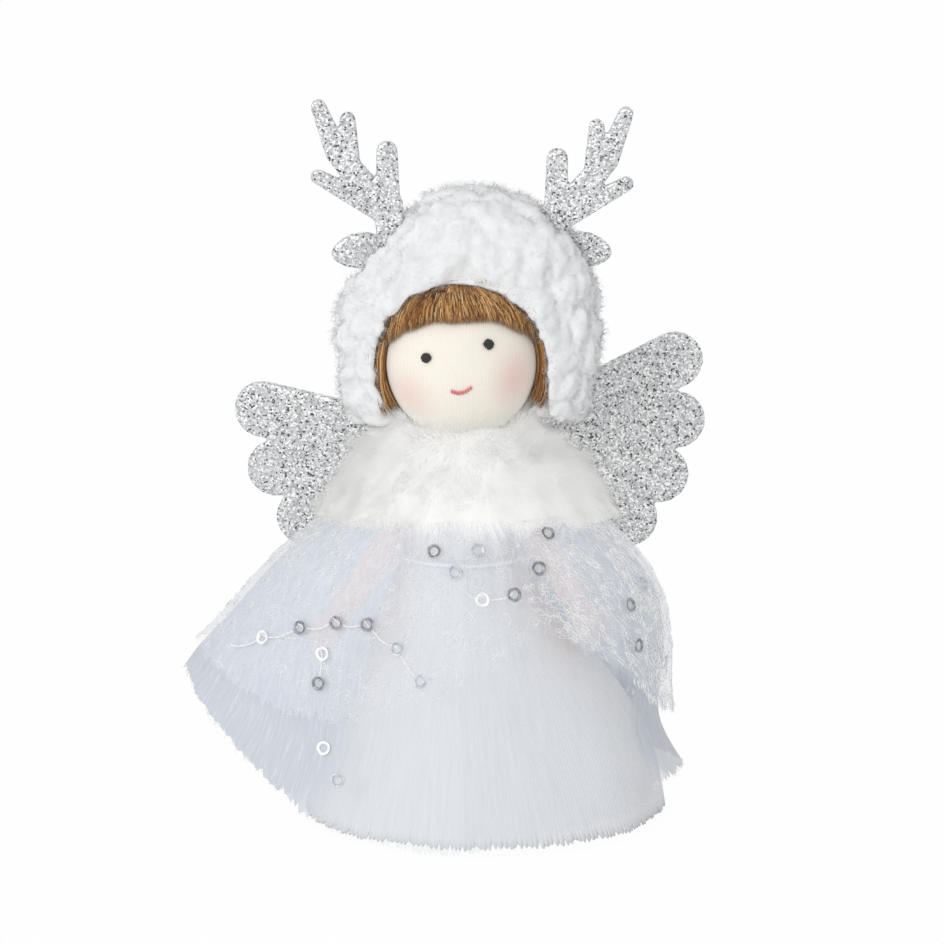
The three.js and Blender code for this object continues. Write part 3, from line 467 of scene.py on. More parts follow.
def drape(azimuth, share, layers, ripple=0):
    azimuth, share = np.broadcast_arrays(azimuth, share)
    front = np.maximum(0, np.cos(azimuth))[..., None] ** 2
    back = np.maximum(0, -np.cos(azimuth))[..., None] ** 2
    side = np.sin(azimuth)[..., None] ** 2
    line = 0
    for knots, weight in ((FRONT_LINE, front), (SIDE_LINE, side), (BACK_LINE, back)):
        line = line + hanging_line([GATHER_KNOT, *knots], share) * weight
    flare = (np.maximum(0, np.cos(azimuth - FLARE_AZIMUTH)) ** FLARE_NARROWNESS)[..., None]
    line = line + (hanging_line([GATHER_KNOT, *FLARE_LINE], share) - line) * flare
    lift = layers * LAYER_STEP
    radius = line[..., 0] + FOLD_DEPTH * waves_round(azimuth, FOLDS) * share ** 2 + lift + ripple
    height = line[..., 1] + HEM_TILT * np.sin(azimuth) * share ** 2 + lift
    points = around(radius, azimuth, height)
    points[..., 0] += SKIRT_SHIFT * np.minimum(1, 2 * share)
    return points


OVERLAY_FRONT = 0.75
OVERLAY_SIDE = 0.86
PARTING_AZIMUTH = math.radians(36)
PARTING_WIDTH = math.radians(28)
PARTING_RISE = 0.14


# The overlay's hem as a share of the tulle's length; it rises where the overlay parts at the front right
def overlay_share(azimuth):
    away = np.angle(np.exp(1j * (azimuth - PARTING_AZIMUTH)))
    level = OVERLAY_FRONT + (OVERLAY_SIDE - OVERLAY_FRONT) * np.sin(azimuth) ** 2
    return level - PARTING_RISE * bell(away, 0, PARTING_WIDTH)


print("hem at the front:", drape(np.array(0.0), np.array(1.0), 0).round(1))

# %% [markdown]
# ## Body, card foot and neck peg
# Under the skirts stands a plain cotton cone, stuffed with wadding and closed by a card disc. A dowel in
# the wadding carries the head. The cone is a turned grid with four sewn seams drawn in and a little
# unevenness, as stuffed cotton has. The card and the dowel keep their CAD shapes and only get a
# material.

# %% Cotton, card and wood
# The thread grid of the cottons is drawn at 0.6 mm, coarser than life, to show.
THREAD_SPACING = 0.6


# Plain-woven cotton: matt, with a fine thread grid.
def woven_material(name, code, dark):
    material, tree = empty_material(name)
    place = add_node(tree, "TexCoord").outputs["Object"]
    waves = {"Vector": place, "Distortion": 0.6, "Scale": bands_apart(THREAD_SPACING)}
    warp = add_node(tree, "TexWave", waves, bands_direction="Z").outputs["Fac"]
    weft = add_node(tree, "TexWave", waves, bands_direction="X").outputs["Fac"]
    grid = add_node(tree, "Math", {0: warp, 1: weft}, operation="MULTIPLY")
    mottle = add_node(tree, "TexNoise", {"Vector": place, "Scale": per_metre(4)})
    shade = add_node(tree, "Math", {0: grid, 1: mottle, 2: 0.2}, operation="MULTIPLY_ADD")
    tint = add_node(tree, "ValToRGB", {"Fac": shade}, [(0.0, dark), (0.6, code)])
    bump = add_node(tree, "Bump", {"Height": grid, "Strength": 0.35, "Distance": 0.1 * MM})
    finish_material(tree, {"Base Color": tint, "Roughness": 0.9, "Sheen Weight": 0.2, "Normal": bump})
    return material


cotton = woven_material("plain_cotton", "F2F0EC", "DAD6CE")

# Grey card: pressed pulp, matt, with short fibres that mottle it.
card = patterned_material("pulp_card", "TexNoise", {"Scale": per_metre(0.9), "Detail": 5},
                          [(0.35, "C9C3B5"), (0.65, "DDD8CC")], {"Roughness": 0.9}, relief=(0.3, 0.1))

# Beech dowel: pale wood with fine darker flecks along the grain.
beech, tree = empty_material("beech_dowel")
place = add_node(tree, "TexCoord").outputs["Object"]
stretch = add_node(tree, "Mapping", {"Vector": place, "Scale": (1, 1, 0.12)})
grain = add_node(tree, "TexNoise", {"Vector": stretch, "Scale": per_metre(0.5)})
tint = add_node(tree, "ValToRGB", {"Fac": grain}, [(0.35, "B98F5C"), (0.6, "DDBF92")])
finish_material(tree, {"Base Color": tint, "Roughness": 0.6})

for node, material in (("base_card", card), ("neck_peg", beech)):
    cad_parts[node].data.materials.clear()
    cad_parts[node].data.materials.append(material)
print("materials so far:", len(bpy.data.materials))

# %% Cone body
BODY_ROWS = 40
BODY_COLUMNS = 96
BODY_TOP_SHARE = 0.985
SEAM_COUNT = 4
SEAM_DEPTH = 0.35
SEAM_WIDTH = 0.05
STUFFING_UNEVENNESS = 0.15
STUFFING_SIZE = 9

profile = hanging_line(BODY_KNOTS, np.linspace(0, BODY_TOP_SHARE, BODY_ROWS))
turn = even_turns(BODY_COLUMNS)
to_seam = np.abs((turn * SEAM_COUNT / (2 * np.pi) + 0.5) % 1 - 0.5) * 2 * np.pi / SEAM_COUNT
seam = SEAM_DEPTH * bell(to_seam, 0, SEAM_WIDTH)
cone = around(profile[:, :1] - seam[None], turn[None], profile[:, 1:])
cone[..., :2] += STUFFING_UNEVENNESS * drift(cone, STUFFING_SIZE, 1)[..., :2]
body_piece = add_piece("stuffed_cone", closed_ring_mesh(cone[::-1]), cotton, "torso", "cotton",
                       "body_cover", "stuffing")
print("cone points:", cone.shape)

# %% [markdown]
# ## Thread ties
# Each gathered edge is tied with a few turns of sewing thread. A real tie is one thread wound round, so
# each is one helix.

# %% Thread ties
# Spun polyester thread: white, slightly glossy, with a twist that catches the light in short bands.
def thread_material(name, code, dark, gloss):
    return patterned_material(name, "TexWave", {"Scale": bands_apart(0.5), "Distortion": 3},
                              [(0.1, dark), (0.7, code)], {"Roughness": gloss, "Sheen Weight": 0.2},
                              relief=(0.5, 0.08), bands_direction="DIAGONAL")


# Fine white fibres: matt, bright and soft, in slightly uneven patches, with a slight sheen at the edges.
SOFT_FINISH = {"Roughness": 0.85, "Sheen Weight": 0.35, "Sheen Roughness": 0.4}


def fibre_material(name, light, dark, patch):
    return patterned_material(name, "TexNoise", {"Scale": per_metre(patch), "Detail": 3},
                              [(0.35, dark), (0.65, light)], SOFT_FINISH)


white_thread = thread_material("white_polyester_thread", "FFFFFF", "E8EBF0", 0.55)
fine_thread = fibre_material("fine_nylon_thread", "FFFFFF", "F6F8FB", 3)
TIE_TURNS = 3
TIE_STEPS = 144
TIE_THREAD = 0.2
TIE_UNEVENNESS = 0.08
TIE_SIDES = 8

for node, body in (("waist_tie", "torso"), ("gather_tie", "torso"), ("neck_tie", "head")):
    middle, half = middle_and_half(node)
    radius = half[0] - half[2]
    share = np.linspace(0, 1, TIE_STEPS)
    climb = (share - 0.5) * 2 * (half[2] - TIE_THREAD)
    uneven = TIE_UNEVENNESS * np.sin(share * 23)
    wound = around(radius + uneven, share * TIE_TURNS * 2 * np.pi, middle[2] + climb)
    wound[:, :2] += middle[:2]
    mesh = tubes(wound[None], np.full((1, TIE_STEPS - 1), TIE_THREAD), TIE_SIDES)
    add_piece(node + "_thread", mesh, white_thread, body, "thread", node)
    print(node, "radius", round(radius, 2))

# %% [markdown]
# ## Arms
# The arms are narrow stuffed tubes of flesh-coloured fabric with a mitten end, and they show faintly
# through the tulle. Each is a turned grid, flattened at the hand, with a crease at the wrist and a seam
# down the back.

# %% Arms
ARM_PROFILE = [(0.05, 3.05), (2.0, 2.5), (3.0, 1.0), (3.15, -2), (3.25, -12), (3.05, -21), (2.75, -23.5),
               (3.3, -26), (3.75, -29.5), (3.3, -32.3), (1.9, -33.5), (0.05, -33.7)]
ARM_ROWS = 44
ARM_COLUMNS = 40
ARM_TIP_RADIUS = 0.05
ARM_SEAM_DEPTH = 0.3
ARM_SEAM_WIDTH = 0.15
ARM_UNEVENNESS = 0.1
WRIST_HEIGHT = -22
HAND_FLATNESS = 0.86
ARMS = (("arm_left", "left_arm", (-14.213, -8.881, 68), 34),
        ("arm_right", "right_arm", (14.302, -8.937, 71), -31))

# Flesh-coloured cotton: the same weave in a warm pink, which shows faintly through the net.
skin = woven_material("flesh_cotton", "EDBFA6", "DDA88E")
share = np.linspace(0, 1, ARM_ROWS)
profile = hanging_line(ARM_PROFILE, share)
turn = even_turns(ARM_COLUMNS)
arm_seam = ARM_SEAM_DEPTH * bell(turn, np.pi, ARM_SEAM_WIDTH)[None] * np.sin(np.pi * share)[:, None]
limb = around(np.maximum(ARM_TIP_RADIUS, profile[:, :1] - arm_seam), turn[None], profile[:, 1:])
hand = fade(profile[:, 1], WRIST_HEIGHT, -4)
limb[..., 1] *= (1 - (1 - HAND_FLATNESS) * hand)[:, None]
limb[..., :2] += ARM_UNEVENNESS * drift(limb, 7, 2)[..., :2]
for node, body, shoulder, splay in ARMS:
    swing = math.radians(splay)
    cosine, sine = math.cos(swing), math.sin(swing)
    placed = limb @ np.array([[cosine, 0, sine], [0, 1, 0], [-sine, 0, cosine]]).T + np.array(shoulder)
    arm = add_piece(node + "_stuffed", closed_ring_mesh(placed), skin, body, "skin_fabric", node)
    print(node, "from", placed.min(axis=(0, 1)).round(1), "to", placed.max(axis=(0, 1)).round(1))

# %% [markdown]
# ## Lining skirt
# The whiter cone that shows through the tulle is a lining of ribbed white polyester. Its ribs run from
# the waist to the hem. The cloth is a grid that widens to an oval hem, and the ribs are a fine bump
# along the cloth's own coordinates, since each is under a millimetre wide.

# %% Lining skirt
LINING_COLUMNS = 1100
LINING_ROWS = 24
LINING_WAIST = 14.2
LINING_HEIGHT = 60
LINING_HEM_HEIGHT = 1.4
LINING_COLLAR = 0.03
LINING_SHIFT = 5
LINING_FOLD_DEPTH = 0.6
LINING_THICKNESS = 0.3
HEM_RADIUS = 27
HEM_AHEAD = 11
HEM_BEHIND = 4.5
HEM_ASIDE = 14
HEM_REACH = 2.2
RIGHT_FULLNESS = 6.3
RIGHT_FULLEST = math.radians(80)
RIGHT_SPREAD = math.radians(38)
FULLNESS_START = 0.24
RIB_WIDTH = 0.9
RIB_LEAST = 0.25
RIBS_CLEAREST = math.radians(52)
RIBS_SPREAD = math.radians(24)
TOOTH_PITCH = 1.35
TOOTH_DEPTH = 0.017
BITE_SHARE = 0.8
HEM_UNEVENNESS = 0.010
HEM_ROUND = 290


# How much shorter each column of a cloth is cut, as a share of its length: small uneven teeth
def ragged_cut(azimuth, seed):
    rng = np.random.default_rng(seed)
    pitch = azimuth / (2 * np.pi) * HEM_ROUND / TOOTH_PITCH
    phase = np.cumsum(rng.uniform(0.6, 1.4, len(azimuth))) * (pitch[1] - pitch[0])
    tooth = np.abs(phase % 1 - 0.5) * 2 * rng.uniform(0.4, 1.0, len(azimuth))
    slow = np.cos(17 * azimuth + 1) * np.cos(29 * azimuth) + np.cos(41 * azimuth + 2)
    bite = np.maximum(0, np.cos(67 * azimuth + 3 * np.cos(9 * azimuth))) ** 6
    return TOOTH_DEPTH * (tooth + BITE_SHARE * bite) + HEM_UNEVENNESS * (0.5 + 0.25 * slow)


# Ribbed polyester satin: white, slightly silky, with ribs that give fine upright lines of shade.
lining_cloth, tree = empty_material("ribbed_polyester")
cloth_place = add_node(tree, "UVMap", uv_map="cloth")
bands = add_node(tree, "TexWave", {"Vector": cloth_place, "Distortion": 0.8, "Detail": 1,
                                   "Scale": bands_apart(RIB_WIDTH)}, bands_direction="X")
showing = add_node(tree, "Attribute", attribute_name="rib_show")
ribs = add_node(tree, "Math", {0: bands.outputs["Fac"], 1: showing.outputs["Fac"]}, operation="MULTIPLY")
streaks = add_node(tree, "Mapping", {"Vector": cloth_place, "Scale": (1, 0.06, 1)})
uneven = add_node(tree, "TexNoise", {"Vector": streaks, "Scale": per_metre(1.2), "Detail": 4})
shade = add_node(tree, "Math", {0: ribs, 1: 0.5, 2: uneven}, operation="MULTIPLY_ADD")
tint = add_node(tree, "ValToRGB", {"Fac": shade}, [(0.3, "DCDFE4"), (0.9, "E7E9ED")])
bump = add_node(tree, "Bump", {"Height": ribs, "Strength": 0.3, "Distance": 0.12 * MM})
finish_material(tree, {"Base Color": tint, "Roughness": 0.6, "Sheen Weight": 0.3, "Normal": bump})

turn = even_turns(LINING_COLUMNS)
lining_hem = 1 - ragged_cut(turn, 17)
share = np.linspace(-LINING_COLLAR, 1, LINING_ROWS)[:, None] * lining_hem[None]
drop = np.maximum(0, share)
ahead = np.maximum(0, np.cos(turn)) ** 2
behind = np.maximum(0, -np.cos(turn)) ** 2
hem_radius = HEM_RADIUS + HEM_AHEAD * ahead + HEM_BEHIND * behind + HEM_ASIDE * np.sin(turn) ** 2
radius = LINING_WAIST + (hem_radius - LINING_WAIST) * drop
radius = radius + LINING_FOLD_DEPTH * waves_round(turn, FOLDS) * drop ** 2 + HEM_REACH * ahead * drop ** 6
swell = np.sin(np.pi * fade(drop, FULLNESS_START, 1 - FULLNESS_START))
radius = radius + RIGHT_FULLNESS * swell * bell(turn, RIGHT_FULLEST, RIGHT_SPREAD)
lining = around(radius, turn[None], LINING_HEIGHT + (LINING_HEM_HEIGHT - LINING_HEIGHT) * share)
lining[..., 0] += LINING_SHIFT * drop
lining_mesh = cloth_mesh(lining, share)
rib_show = RIB_LEAST + (1 - RIB_LEAST) * bell(turn, RIBS_CLEAREST, RIBS_SPREAD)
mark_points(lining_mesh, "rib_show", np.broadcast_to(rib_show, lining.shape[:2]))
lining_piece = add_piece("lining_skirt_ribbed", lining_mesh, lining_cloth, "torso", "lining",
                         "lining_skirt")
thickness = lining_piece.modifiers.new("cloth_thickness", "SOLIDIFY")
thickness.thickness = LINING_THICKNESS * MM

# %% [markdown]
# ## Tulle skirt
# The tulle is a sheer bluish net, gathered at the neck and cut ragged at the hem, and it stands out to
# the left. Net this fine has no holes that show at this size, so the sheet is see-through: thin in
# front, where one layer hangs before the lining, and dense at the sides, where the gathered net lies in
# several layers. White net sends most light on, so it shades nothing. The hem is cut by shortening each
# column of the grid by an uneven tooth.

# %% Sheer cloth materials
# Nylon net and organza: pale, see-through and faintly silky. The mesh says at each point how much the
# cloth covers, and threads that bunch make it a little denser in fine streaks, which also show as whiter
# lines.
def sheer_material(name, colours, unevenness, grain_width, grain_length):
    material, tree = empty_material(name)
    cloth_place = add_node(tree, "UVMap", uv_map="cloth")
    slim = (1, grain_width / grain_length, 1)
    stretch = add_node(tree, "Mapping", {"Vector": cloth_place, "Scale": slim})
    grain = add_node(tree, "TexNoise", {"Vector": stretch, "Detail": 3, "Roughness": 0.6,
                                        "Scale": per_metre(grain_width)})
    cover = add_node(tree, "Attribute", attribute_name="cover").outputs["Fac"]
    denser = add_node(tree, "MapRange", {"Value": grain, "From Min": 0.3, "From Max": 0.7,
                                         "To Min": -unevenness, "To Max": unevenness})
    alpha = add_node(tree, "Math", {0: cover, 1: denser}, operation="ADD", use_clamp=True)
    tint = add_node(tree, "ValToRGB", {"Fac": grain}, colours)
    finish_material(tree, {"Base Color": tint, "Alpha": alpha, "Roughness": 0.6, "Sheen Weight": 0.2})
    return material


NET_COLOURS = ((0.3, "C0C7D0"), (0.5, "C8CED7"), (0.62, "CDD3DB"), (0.74, "EAEEF3"))
ORGANZA_COLOURS = ((0.3, "E2E8F2"), (0.7, "EFF3FA"))
net = sheer_material("nylon_tulle", NET_COLOURS, 0.04, 0.36, 8)
organza = sheer_material("sheer_organza", ORGANZA_COLOURS, 0.05, 1.5, 4)
print("materials so far:", len(bpy.data.materials))

# %% Tulle skirt
TULLE_COLUMNS = 1200
TULLE_ROWS = 64
TULLE_LAYER = -0.3
RIPPLES = ((23, 0.16, 0.4), (37, 0.12, 2.0), (61, 0.08, 4.1))
# Where the lining's cone lies behind the skirt: its edges in degrees from the front, and how they spread
CONE_LEFT = -16.5
CONE_LEFT_SPREAD = 34
CONE_RIGHT = 4
CONE_RIGHT_SPREAD = 60
CONE_LOW_STEP = 11.5
EDGE_SOFTNESS = (8, 7)
# Start and length: where the cone steps out, where it begins, and above which share the arms show faintly
CONE_STEP_FROM = (0.66, 0.08)
CONE_FROM = (0.34, 0.2)
ARMS_SHOW_FROM = (0.72, -0.2)
# How much the net covers: low down, above, before the lining, and at the right, where it is one layer
TULLE_COVER = 0.97
TULLE_COVER_ABOVE = 0.67
TULLE_COVER_AHEAD = 0.2
TULLE_COVER_RIGHT = 0.82
SINGLE_LAYER_AZIMUTH = math.radians(88)
SINGLE_LAYER_WIDTH = math.radians(26)


def gather_ripple(azimuth, share):
    return waves_round(azimuth, RIPPLES) * np.minimum(1, 4 * share)


# 1 where a skirt hangs close before the lining's cone and 0 at the sides, back and waist
def before_lining(azimuth, share):
    degrees = np.degrees(np.angle(np.exp(1j * azimuth)))
    left_soft, right_soft = EDGE_SOFTNESS
    right_edge = CONE_RIGHT + CONE_RIGHT_SPREAD * share + CONE_LOW_STEP * fade(share, *CONE_STEP_FROM)
    past_left = fade(degrees - CONE_LEFT + CONE_LEFT_SPREAD * share, -left_soft / 2, left_soft)
    past_right = fade(right_edge - degrees, -right_soft / 2, right_soft)
    return past_left * past_right * fade(share, *CONE_FROM)


turn = even_turns(TULLE_COLUMNS)
tulle_hem = 1 - ragged_cut(turn, 3)
share = np.linspace(0, 1, TULLE_ROWS)[:, None] * tulle_hem[None]
tulle_mesh = cloth_mesh(drape(turn[None], share, TULLE_LAYER, gather_ripple(turn[None], share)), share)
single_layer = bell(turn[None], SINGLE_LAYER_AZIMUTH, SINGLE_LAYER_WIDTH)
below = TULLE_COVER + (TULLE_COVER_RIGHT - TULLE_COVER) * single_layer
cover = below + (TULLE_COVER_ABOVE - below) * fade(share, *ARMS_SHOW_FROM)
cover = cover + (TULLE_COVER_AHEAD - cover) * before_lining(turn[None], share)
mark_points(tulle_mesh, "cover", cover)
tulle_piece = add_piece("tulle_net", tulle_mesh, net, "torso", "tulle", "tulle_skirt")
let_light_through(tulle_piece)

# %% Loose threads of the tulle's hem
HEM_THREADS = 420
HEM_THREAD_RADIUS = 0.07
HEM_THREAD_LENGTHS = (0.8, 2.2)
HEM_THREADS_ROUND = (math.radians(66), math.radians(312))
LEAST_HEIGHT = 0.3

rng = np.random.default_rng(4)
at = rng.uniform(*HEM_THREADS_ROUND, HEM_THREADS)
start = np.interp(at, turn, tulle_hem) - 0.01
root = drape(at, start, TULLE_LAYER, gather_ripple(at, start))
further_in = drape(at, start - 0.05, TULLE_LAYER)
hem_paths = loose_threads(root, further_in, HEM_THREAD_LENGTHS, 0.6, rng)
hem_paths[..., 2] = np.maximum(hem_paths[..., 2], LEAST_HEIGHT)
hem_mesh = tubes(hem_paths, np.full((HEM_THREADS, 2), HEM_THREAD_RADIUS))
hem_fringe = add_piece("tulle_hem_threads", hem_mesh, fine_thread, "torso", "tulle")
print("hem threads:", HEM_THREADS)

# %% [markdown]
# ## Sequin overlay
# Over the tulle lies a sheer bluish layer, covered in fine white threads that scribble over it in loops.
# It is a second grid one layer out. The threads are thin tubes that wander on the cloth: each starts
# somewhere on it and turns by chance, so the scribble lies on the cloth from every side.

# %% Sequin overlay
OVERLAY_COLUMNS = 960
OVERLAY_ROWS = 48
OVERLAY_LAYER = 0.8
OVERLAY_RAGGEDNESS = 1.2
OVERLAY_COVER = 0.5
OVERLAY_COVER_AHEAD = 0.2
OVERLAY_HEM_FADE = 0.5
RIGHT_FLICK = 3.0
RIGHT_FLICK_AZIMUTH = math.radians(82)
RIGHT_FLICK_WIDTH = math.radians(26)


def overlay_point(azimuth, share, layers=OVERLAY_LAYER):
    near_hem = fade(share / overlay_share(azimuth), 0.65, 0.35) ** 2
    flick = RIGHT_FLICK * near_hem * bell(azimuth, RIGHT_FLICK_AZIMUTH, RIGHT_FLICK_WIDTH)
    return drape(azimuth, share, layers, gather_ripple(azimuth, share) + flick)


turn = np.linspace(-np.pi, np.pi, OVERLAY_COLUMNS, endpoint=False)
overlay_hem = overlay_share(turn) - OVERLAY_RAGGEDNESS * ragged_cut(turn - turn[0], 5)
to_hem = np.linspace(0, 1, OVERLAY_ROWS)[:, None]
share = to_hem * overlay_hem[None]
overlay_mesh = cloth_mesh(overlay_point(turn[None], share), to_hem)
cover = OVERLAY_COVER + (OVERLAY_COVER_AHEAD - OVERLAY_COVER) * before_lining(turn[None], share)
mark_points(overlay_mesh, "cover", cover * (1 - OVERLAY_HEM_FADE * to_hem ** 3))
overlay_piece = add_piece("sheer_overlay", overlay_mesh, organza, "torso", "overlay", "sequin_overlay")
let_light_through(overlay_piece)

# %% Scribbled threads
SCRIBBLES = 1150
SCRIBBLES_AT_PARTING = 330
SCRIBBLE_STEPS = 24
SCRIBBLE_STEP = 0.6
SCRIBBLE_THREAD = 0.05
SCRIBBLE_LAYER = 0.95
SHARPEST_BEND = 1.1
OVERLAY_LENGTH = 75
PARTING_BUNCH = (math.radians(28), math.radians(84))
PARTING_THICKER = 1.3

rng = np.random.default_rng(6)
azimuth = rng.uniform(-np.pi, np.pi, SCRIBBLES)
share = rng.uniform(0.25, 0.98, SCRIBBLES)
azimuth[:SCRIBBLES_AT_PARTING] = rng.uniform(*PARTING_BUNCH, SCRIBBLES_AT_PARTING)
heading = rng.uniform(0, 2 * np.pi, SCRIBBLES)
bend = rng.normal(0, 0.5, SCRIBBLES)
scribble = []
for _ in range(SCRIBBLE_STEPS):
    scribble.append(overlay_point(azimuth, share * overlay_share(azimuth), SCRIBBLE_LAYER))
    bend = np.clip(bend + rng.normal(0, 0.35, SCRIBBLES), -SHARPEST_BEND, SHARPEST_BEND)
    heading = heading + bend
    azimuth = azimuth + SCRIBBLE_STEP * np.cos(heading) / CLOTH_RADIUS
    azimuth = (azimuth + np.pi) % (2 * np.pi) - np.pi
    share = np.clip(share + SCRIBBLE_STEP * np.sin(heading) / OVERLAY_LENGTH, 0.2, 0.99)
scribble_radii = np.full((SCRIBBLES, SCRIBBLE_STEPS - 1), SCRIBBLE_THREAD)
scribble_radii[:SCRIBBLES_AT_PARTING] *= PARTING_THICKER
scribble_mesh = tubes(np.stack(scribble, axis=1), scribble_radii)
scribble_piece = add_piece("scribbled_threads", scribble_mesh, fine_thread, "torso", "overlay")
let_light_through(scribble_piece)
print("scribbles:", SCRIBBLES, "of length", round(SCRIBBLE_STEPS * SCRIBBLE_STEP, 1), "mm")

# %% Frayed edge at the right
FRAYED_THREADS = 260
FRAYED_RADIUS = 0.08
FRAYED_LENGTHS = (1.0, 3.2)
FRAYED_ROUND = (math.radians(58), math.radians(118))

at = rng.uniform(*FRAYED_ROUND, FRAYED_THREADS)
start = np.interp(at, turn, overlay_hem) - 0.012
further_in = overlay_point(at, start - 0.05)
frayed_paths = loose_threads(overlay_point(at, start), further_in, FRAYED_LENGTHS, 0.5, rng)
frayed_mesh = tubes(frayed_paths, np.full((FRAYED_THREADS, 2), FRAYED_RADIUS))
frayed_piece = add_piece("overlay_frayed_threads", frayed_mesh, fine_thread, "torso", "overlay")
let_light_through(frayed_piece)
print("frayed threads:", FRAYED_THREADS)

# %% [markdown]
# ## Ring sequins and their thread
# The sequins are small cupped rings stamped from silver film, strung on a thick white thread that is
# sewn along the overlay. Each ring is turned finely and laid at its CAD place: the ring's own flattest
# direction tells which way the CAD ring faces.

# %% Ring sequins
# Metallised polyester film: bright, smooth and a little rippled. All the rings are this one film, and
# three copies paint into the base colour what each ring reflects: grey for the darker side of the room
# that rings lying aslant mirror, paler for a lighter reflection, and white with little metal for a lamp
# glint on a few.
def film_material(name, light, dark, metal):
    material, tree = empty_material(name)
    place = add_node(tree, "TexCoord").outputs["Object"]
    ripple = add_node(tree, "TexNoise", {"Vector": place, "Detail": 2, "Scale": per_metre(1.1)})
    tint = add_node(tree, "ValToRGB", {"Fac": ripple}, [(0.4, dark), (0.6, light)])
    rough = add_node(tree, "MapRange", {"Value": ripple, "To Min": 0.25, "To Max": 0.5})
    finish_material(tree, {"Base Color": tint, "Metallic": metal, "Roughness": rough})
    return material


painted_grey_reflection_film = film_material("silver_film", "A4A7AC", "7E8288", 0.5)
painted_pale_reflection_film = film_material("metal_film_painted_pale_reflection", "D3D7DE", "B4B9C2", 0.3)
painted_glint_film = film_material("metal_film_painted_lamp_glint", "FFFFFF", "F4F5F7", 0.1)
# The base colour of these rings paints a lamp glint, and of the next ones a paler reflection
GLINT_PAINTED_SEQUINS = (5, 9, 13)
PALE_REFLECTION_SEQUINS = (3, 4, 14, 15, 16, 19, 20)
SEQUIN_COLUMNS = 32
SEQUIN_SECTION = [(0.95, 0.1), (1.0, 0.04), (1.3, 0.12), (1.54, 0.26), (1.6, 0.36),
                  (1.54, 0.42), (1.3, 0.3), (1.0, 0.22), (0.96, 0.16)]
SEQUIN_MID_HEIGHT = 0.23


# One cupped ring, a little out of round, at a place on the cloth
def sequin_mesh(middle, outwards, seed):
    aside = unit(np.cross(outwards, [0.2, 0.1, 1.0]))
    across_ring = np.cross(outwards, aside)
    turn = even_turns(SEQUIN_COLUMNS)
    stamped = 1 + 0.035 * np.cos(3 * turn + seed) - 0.02 * np.cos(5 * turn + 2 * seed)
    spokes = stamped[:, None] * (np.cos(turn)[:, None] * aside + np.sin(turn)[:, None] * across_ring)
    ring = np.stack([middle + r * spokes + (h - SEQUIN_MID_HEIGHT) * outwards for r, h in SEQUIN_SECTION])
    faces = ring_grid(len(SEQUIN_SECTION) + 1, SEQUIN_COLUMNS) % (len(SEQUIN_SECTION) * SEQUIN_COLUMNS)
    return mesh_of(ring.reshape(-1, 3), faces.tolist())


sequin_seats = {}
for name in sorted(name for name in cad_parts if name.startswith("sequin_") and name[-2:].isdigit()):
    number = int(name[-2:])
    corners = points_of(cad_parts[name].data)
    middle = (corners.max(axis=0) + corners.min(axis=0)) / 2
    flattest = np.linalg.svd(np.unique(corners.round(3), axis=0) - corners.mean(axis=0))[2][2]
    outwards = flattest * np.sign(flattest @ (middle * FLAT + 8 * UP))
    film = painted_glint_film if number in GLINT_PAINTED_SEQUINS else painted_pale_reflection_film if number in PALE_REFLECTION_SEQUINS else painted_grey_reflection_film
    add_piece(name + "_ring", sequin_mesh(middle, outwards, number), film, "torso", "sequin_film", name)
    sequin_seats[number] = middle
print("sequins:", len(sequin_seats))

# %% Sequins that slipped down onto the tulle
# On the tulle, one ring's base colour paints a lamp glint and the other's a paler reflection
TULLE_SEQUINS = ((-49.5, 0.849, painted_glint_film), (-44.0, 0.896, painted_pale_reflection_film))
for number, (degrees, share, film) in enumerate(TULLE_SEQUINS, 1):
    at = math.radians(degrees)
    seat, below, beside = drape(np.array([at, at, at + 0.02]), np.array([share, share + 0.02, share]), 0.1)
    outwards = unit(np.cross(below - seat, beside - seat))
    name = f"tulle_sequin_{number}"
    add_piece(name, sequin_mesh(seat + 0.25 * outwards, outwards, number), film, "torso", "sequin_film")
    print(name, "at", seat.round(1), "facing", outwards.round(2))

# %% Thread that strings the sequins
THREAD_HEAVY = 0.17
THREAD_FINE = 0.06
STRINGS = [((9, 10, 11, 12, 14, 15), THREAD_HEAVY), ((13, 21), THREAD_HEAVY), ((5, 6), THREAD_HEAVY),
           ((22, 23, 24, 25), THREAD_FINE), ((22, 26), THREAD_FINE), ((24, 27), THREAD_FINE)]
TAILS = ((9, 10, -0.75, 0.035), (5, 6, -0.6, -0.035))
STRING_STEPS = 14
STRING_SIDES = 6
STRING_SAG = 0.012

grid_turn, grid_share = np.meshgrid(np.linspace(-np.pi, np.pi, 721), np.linspace(0.05, 1, 240))
grid_points = overlay_point(grid_turn, grid_share * overlay_share(grid_turn))


# The azimuth and share of the overlay's length where a sequin sits
def cloth_place_of(number):
    gap = np.linalg.norm(grid_points - sequin_seats[number], axis=-1)
    row, column = np.unravel_index(gap.argmin(), gap.shape)
    return np.array([grid_turn[row, column], grid_share[row, column]])


stretches = []
for order, thread in STRINGS:
    for first, second in zip(order, order[1:]):
        stretches.append((cloth_place_of(first), cloth_place_of(second), thread))
for first, second, reach, fall in TAILS:
    start = cloth_place_of(first)
    end = start + reach * (cloth_place_of(second) - start) + np.array([0, fall])
    stretches.append((start, end, THREAD_HEAVY))

string_parts = []
string_radii = []
for start, end, thread in stretches:
    share = np.linspace(0, 1, STRING_STEPS)
    end[0] += 2 * np.pi * np.round((start[0] - end[0]) / (2 * np.pi))
    line = start + (end - start) * share[:, None]
    line[:, 1] += STRING_SAG * np.sin(np.pi * share)
    through = 0.35 + 0.75 * (1 - np.sin(np.pi * share)) ** 6
    part = overlay_point(line[:, 0], line[:, 1] * overlay_share(line[:, 0]), OVERLAY_LAYER + through)
    string_parts.append(part)
    string_radii.append(np.full(STRING_STEPS - 1, thread))
string_mesh = tubes(np.stack(string_parts), np.stack(string_radii), STRING_SIDES)
add_piece("sequin_thread", string_mesh, white_thread, "torso", "thread")
print("stretches of thread:", len(string_parts))
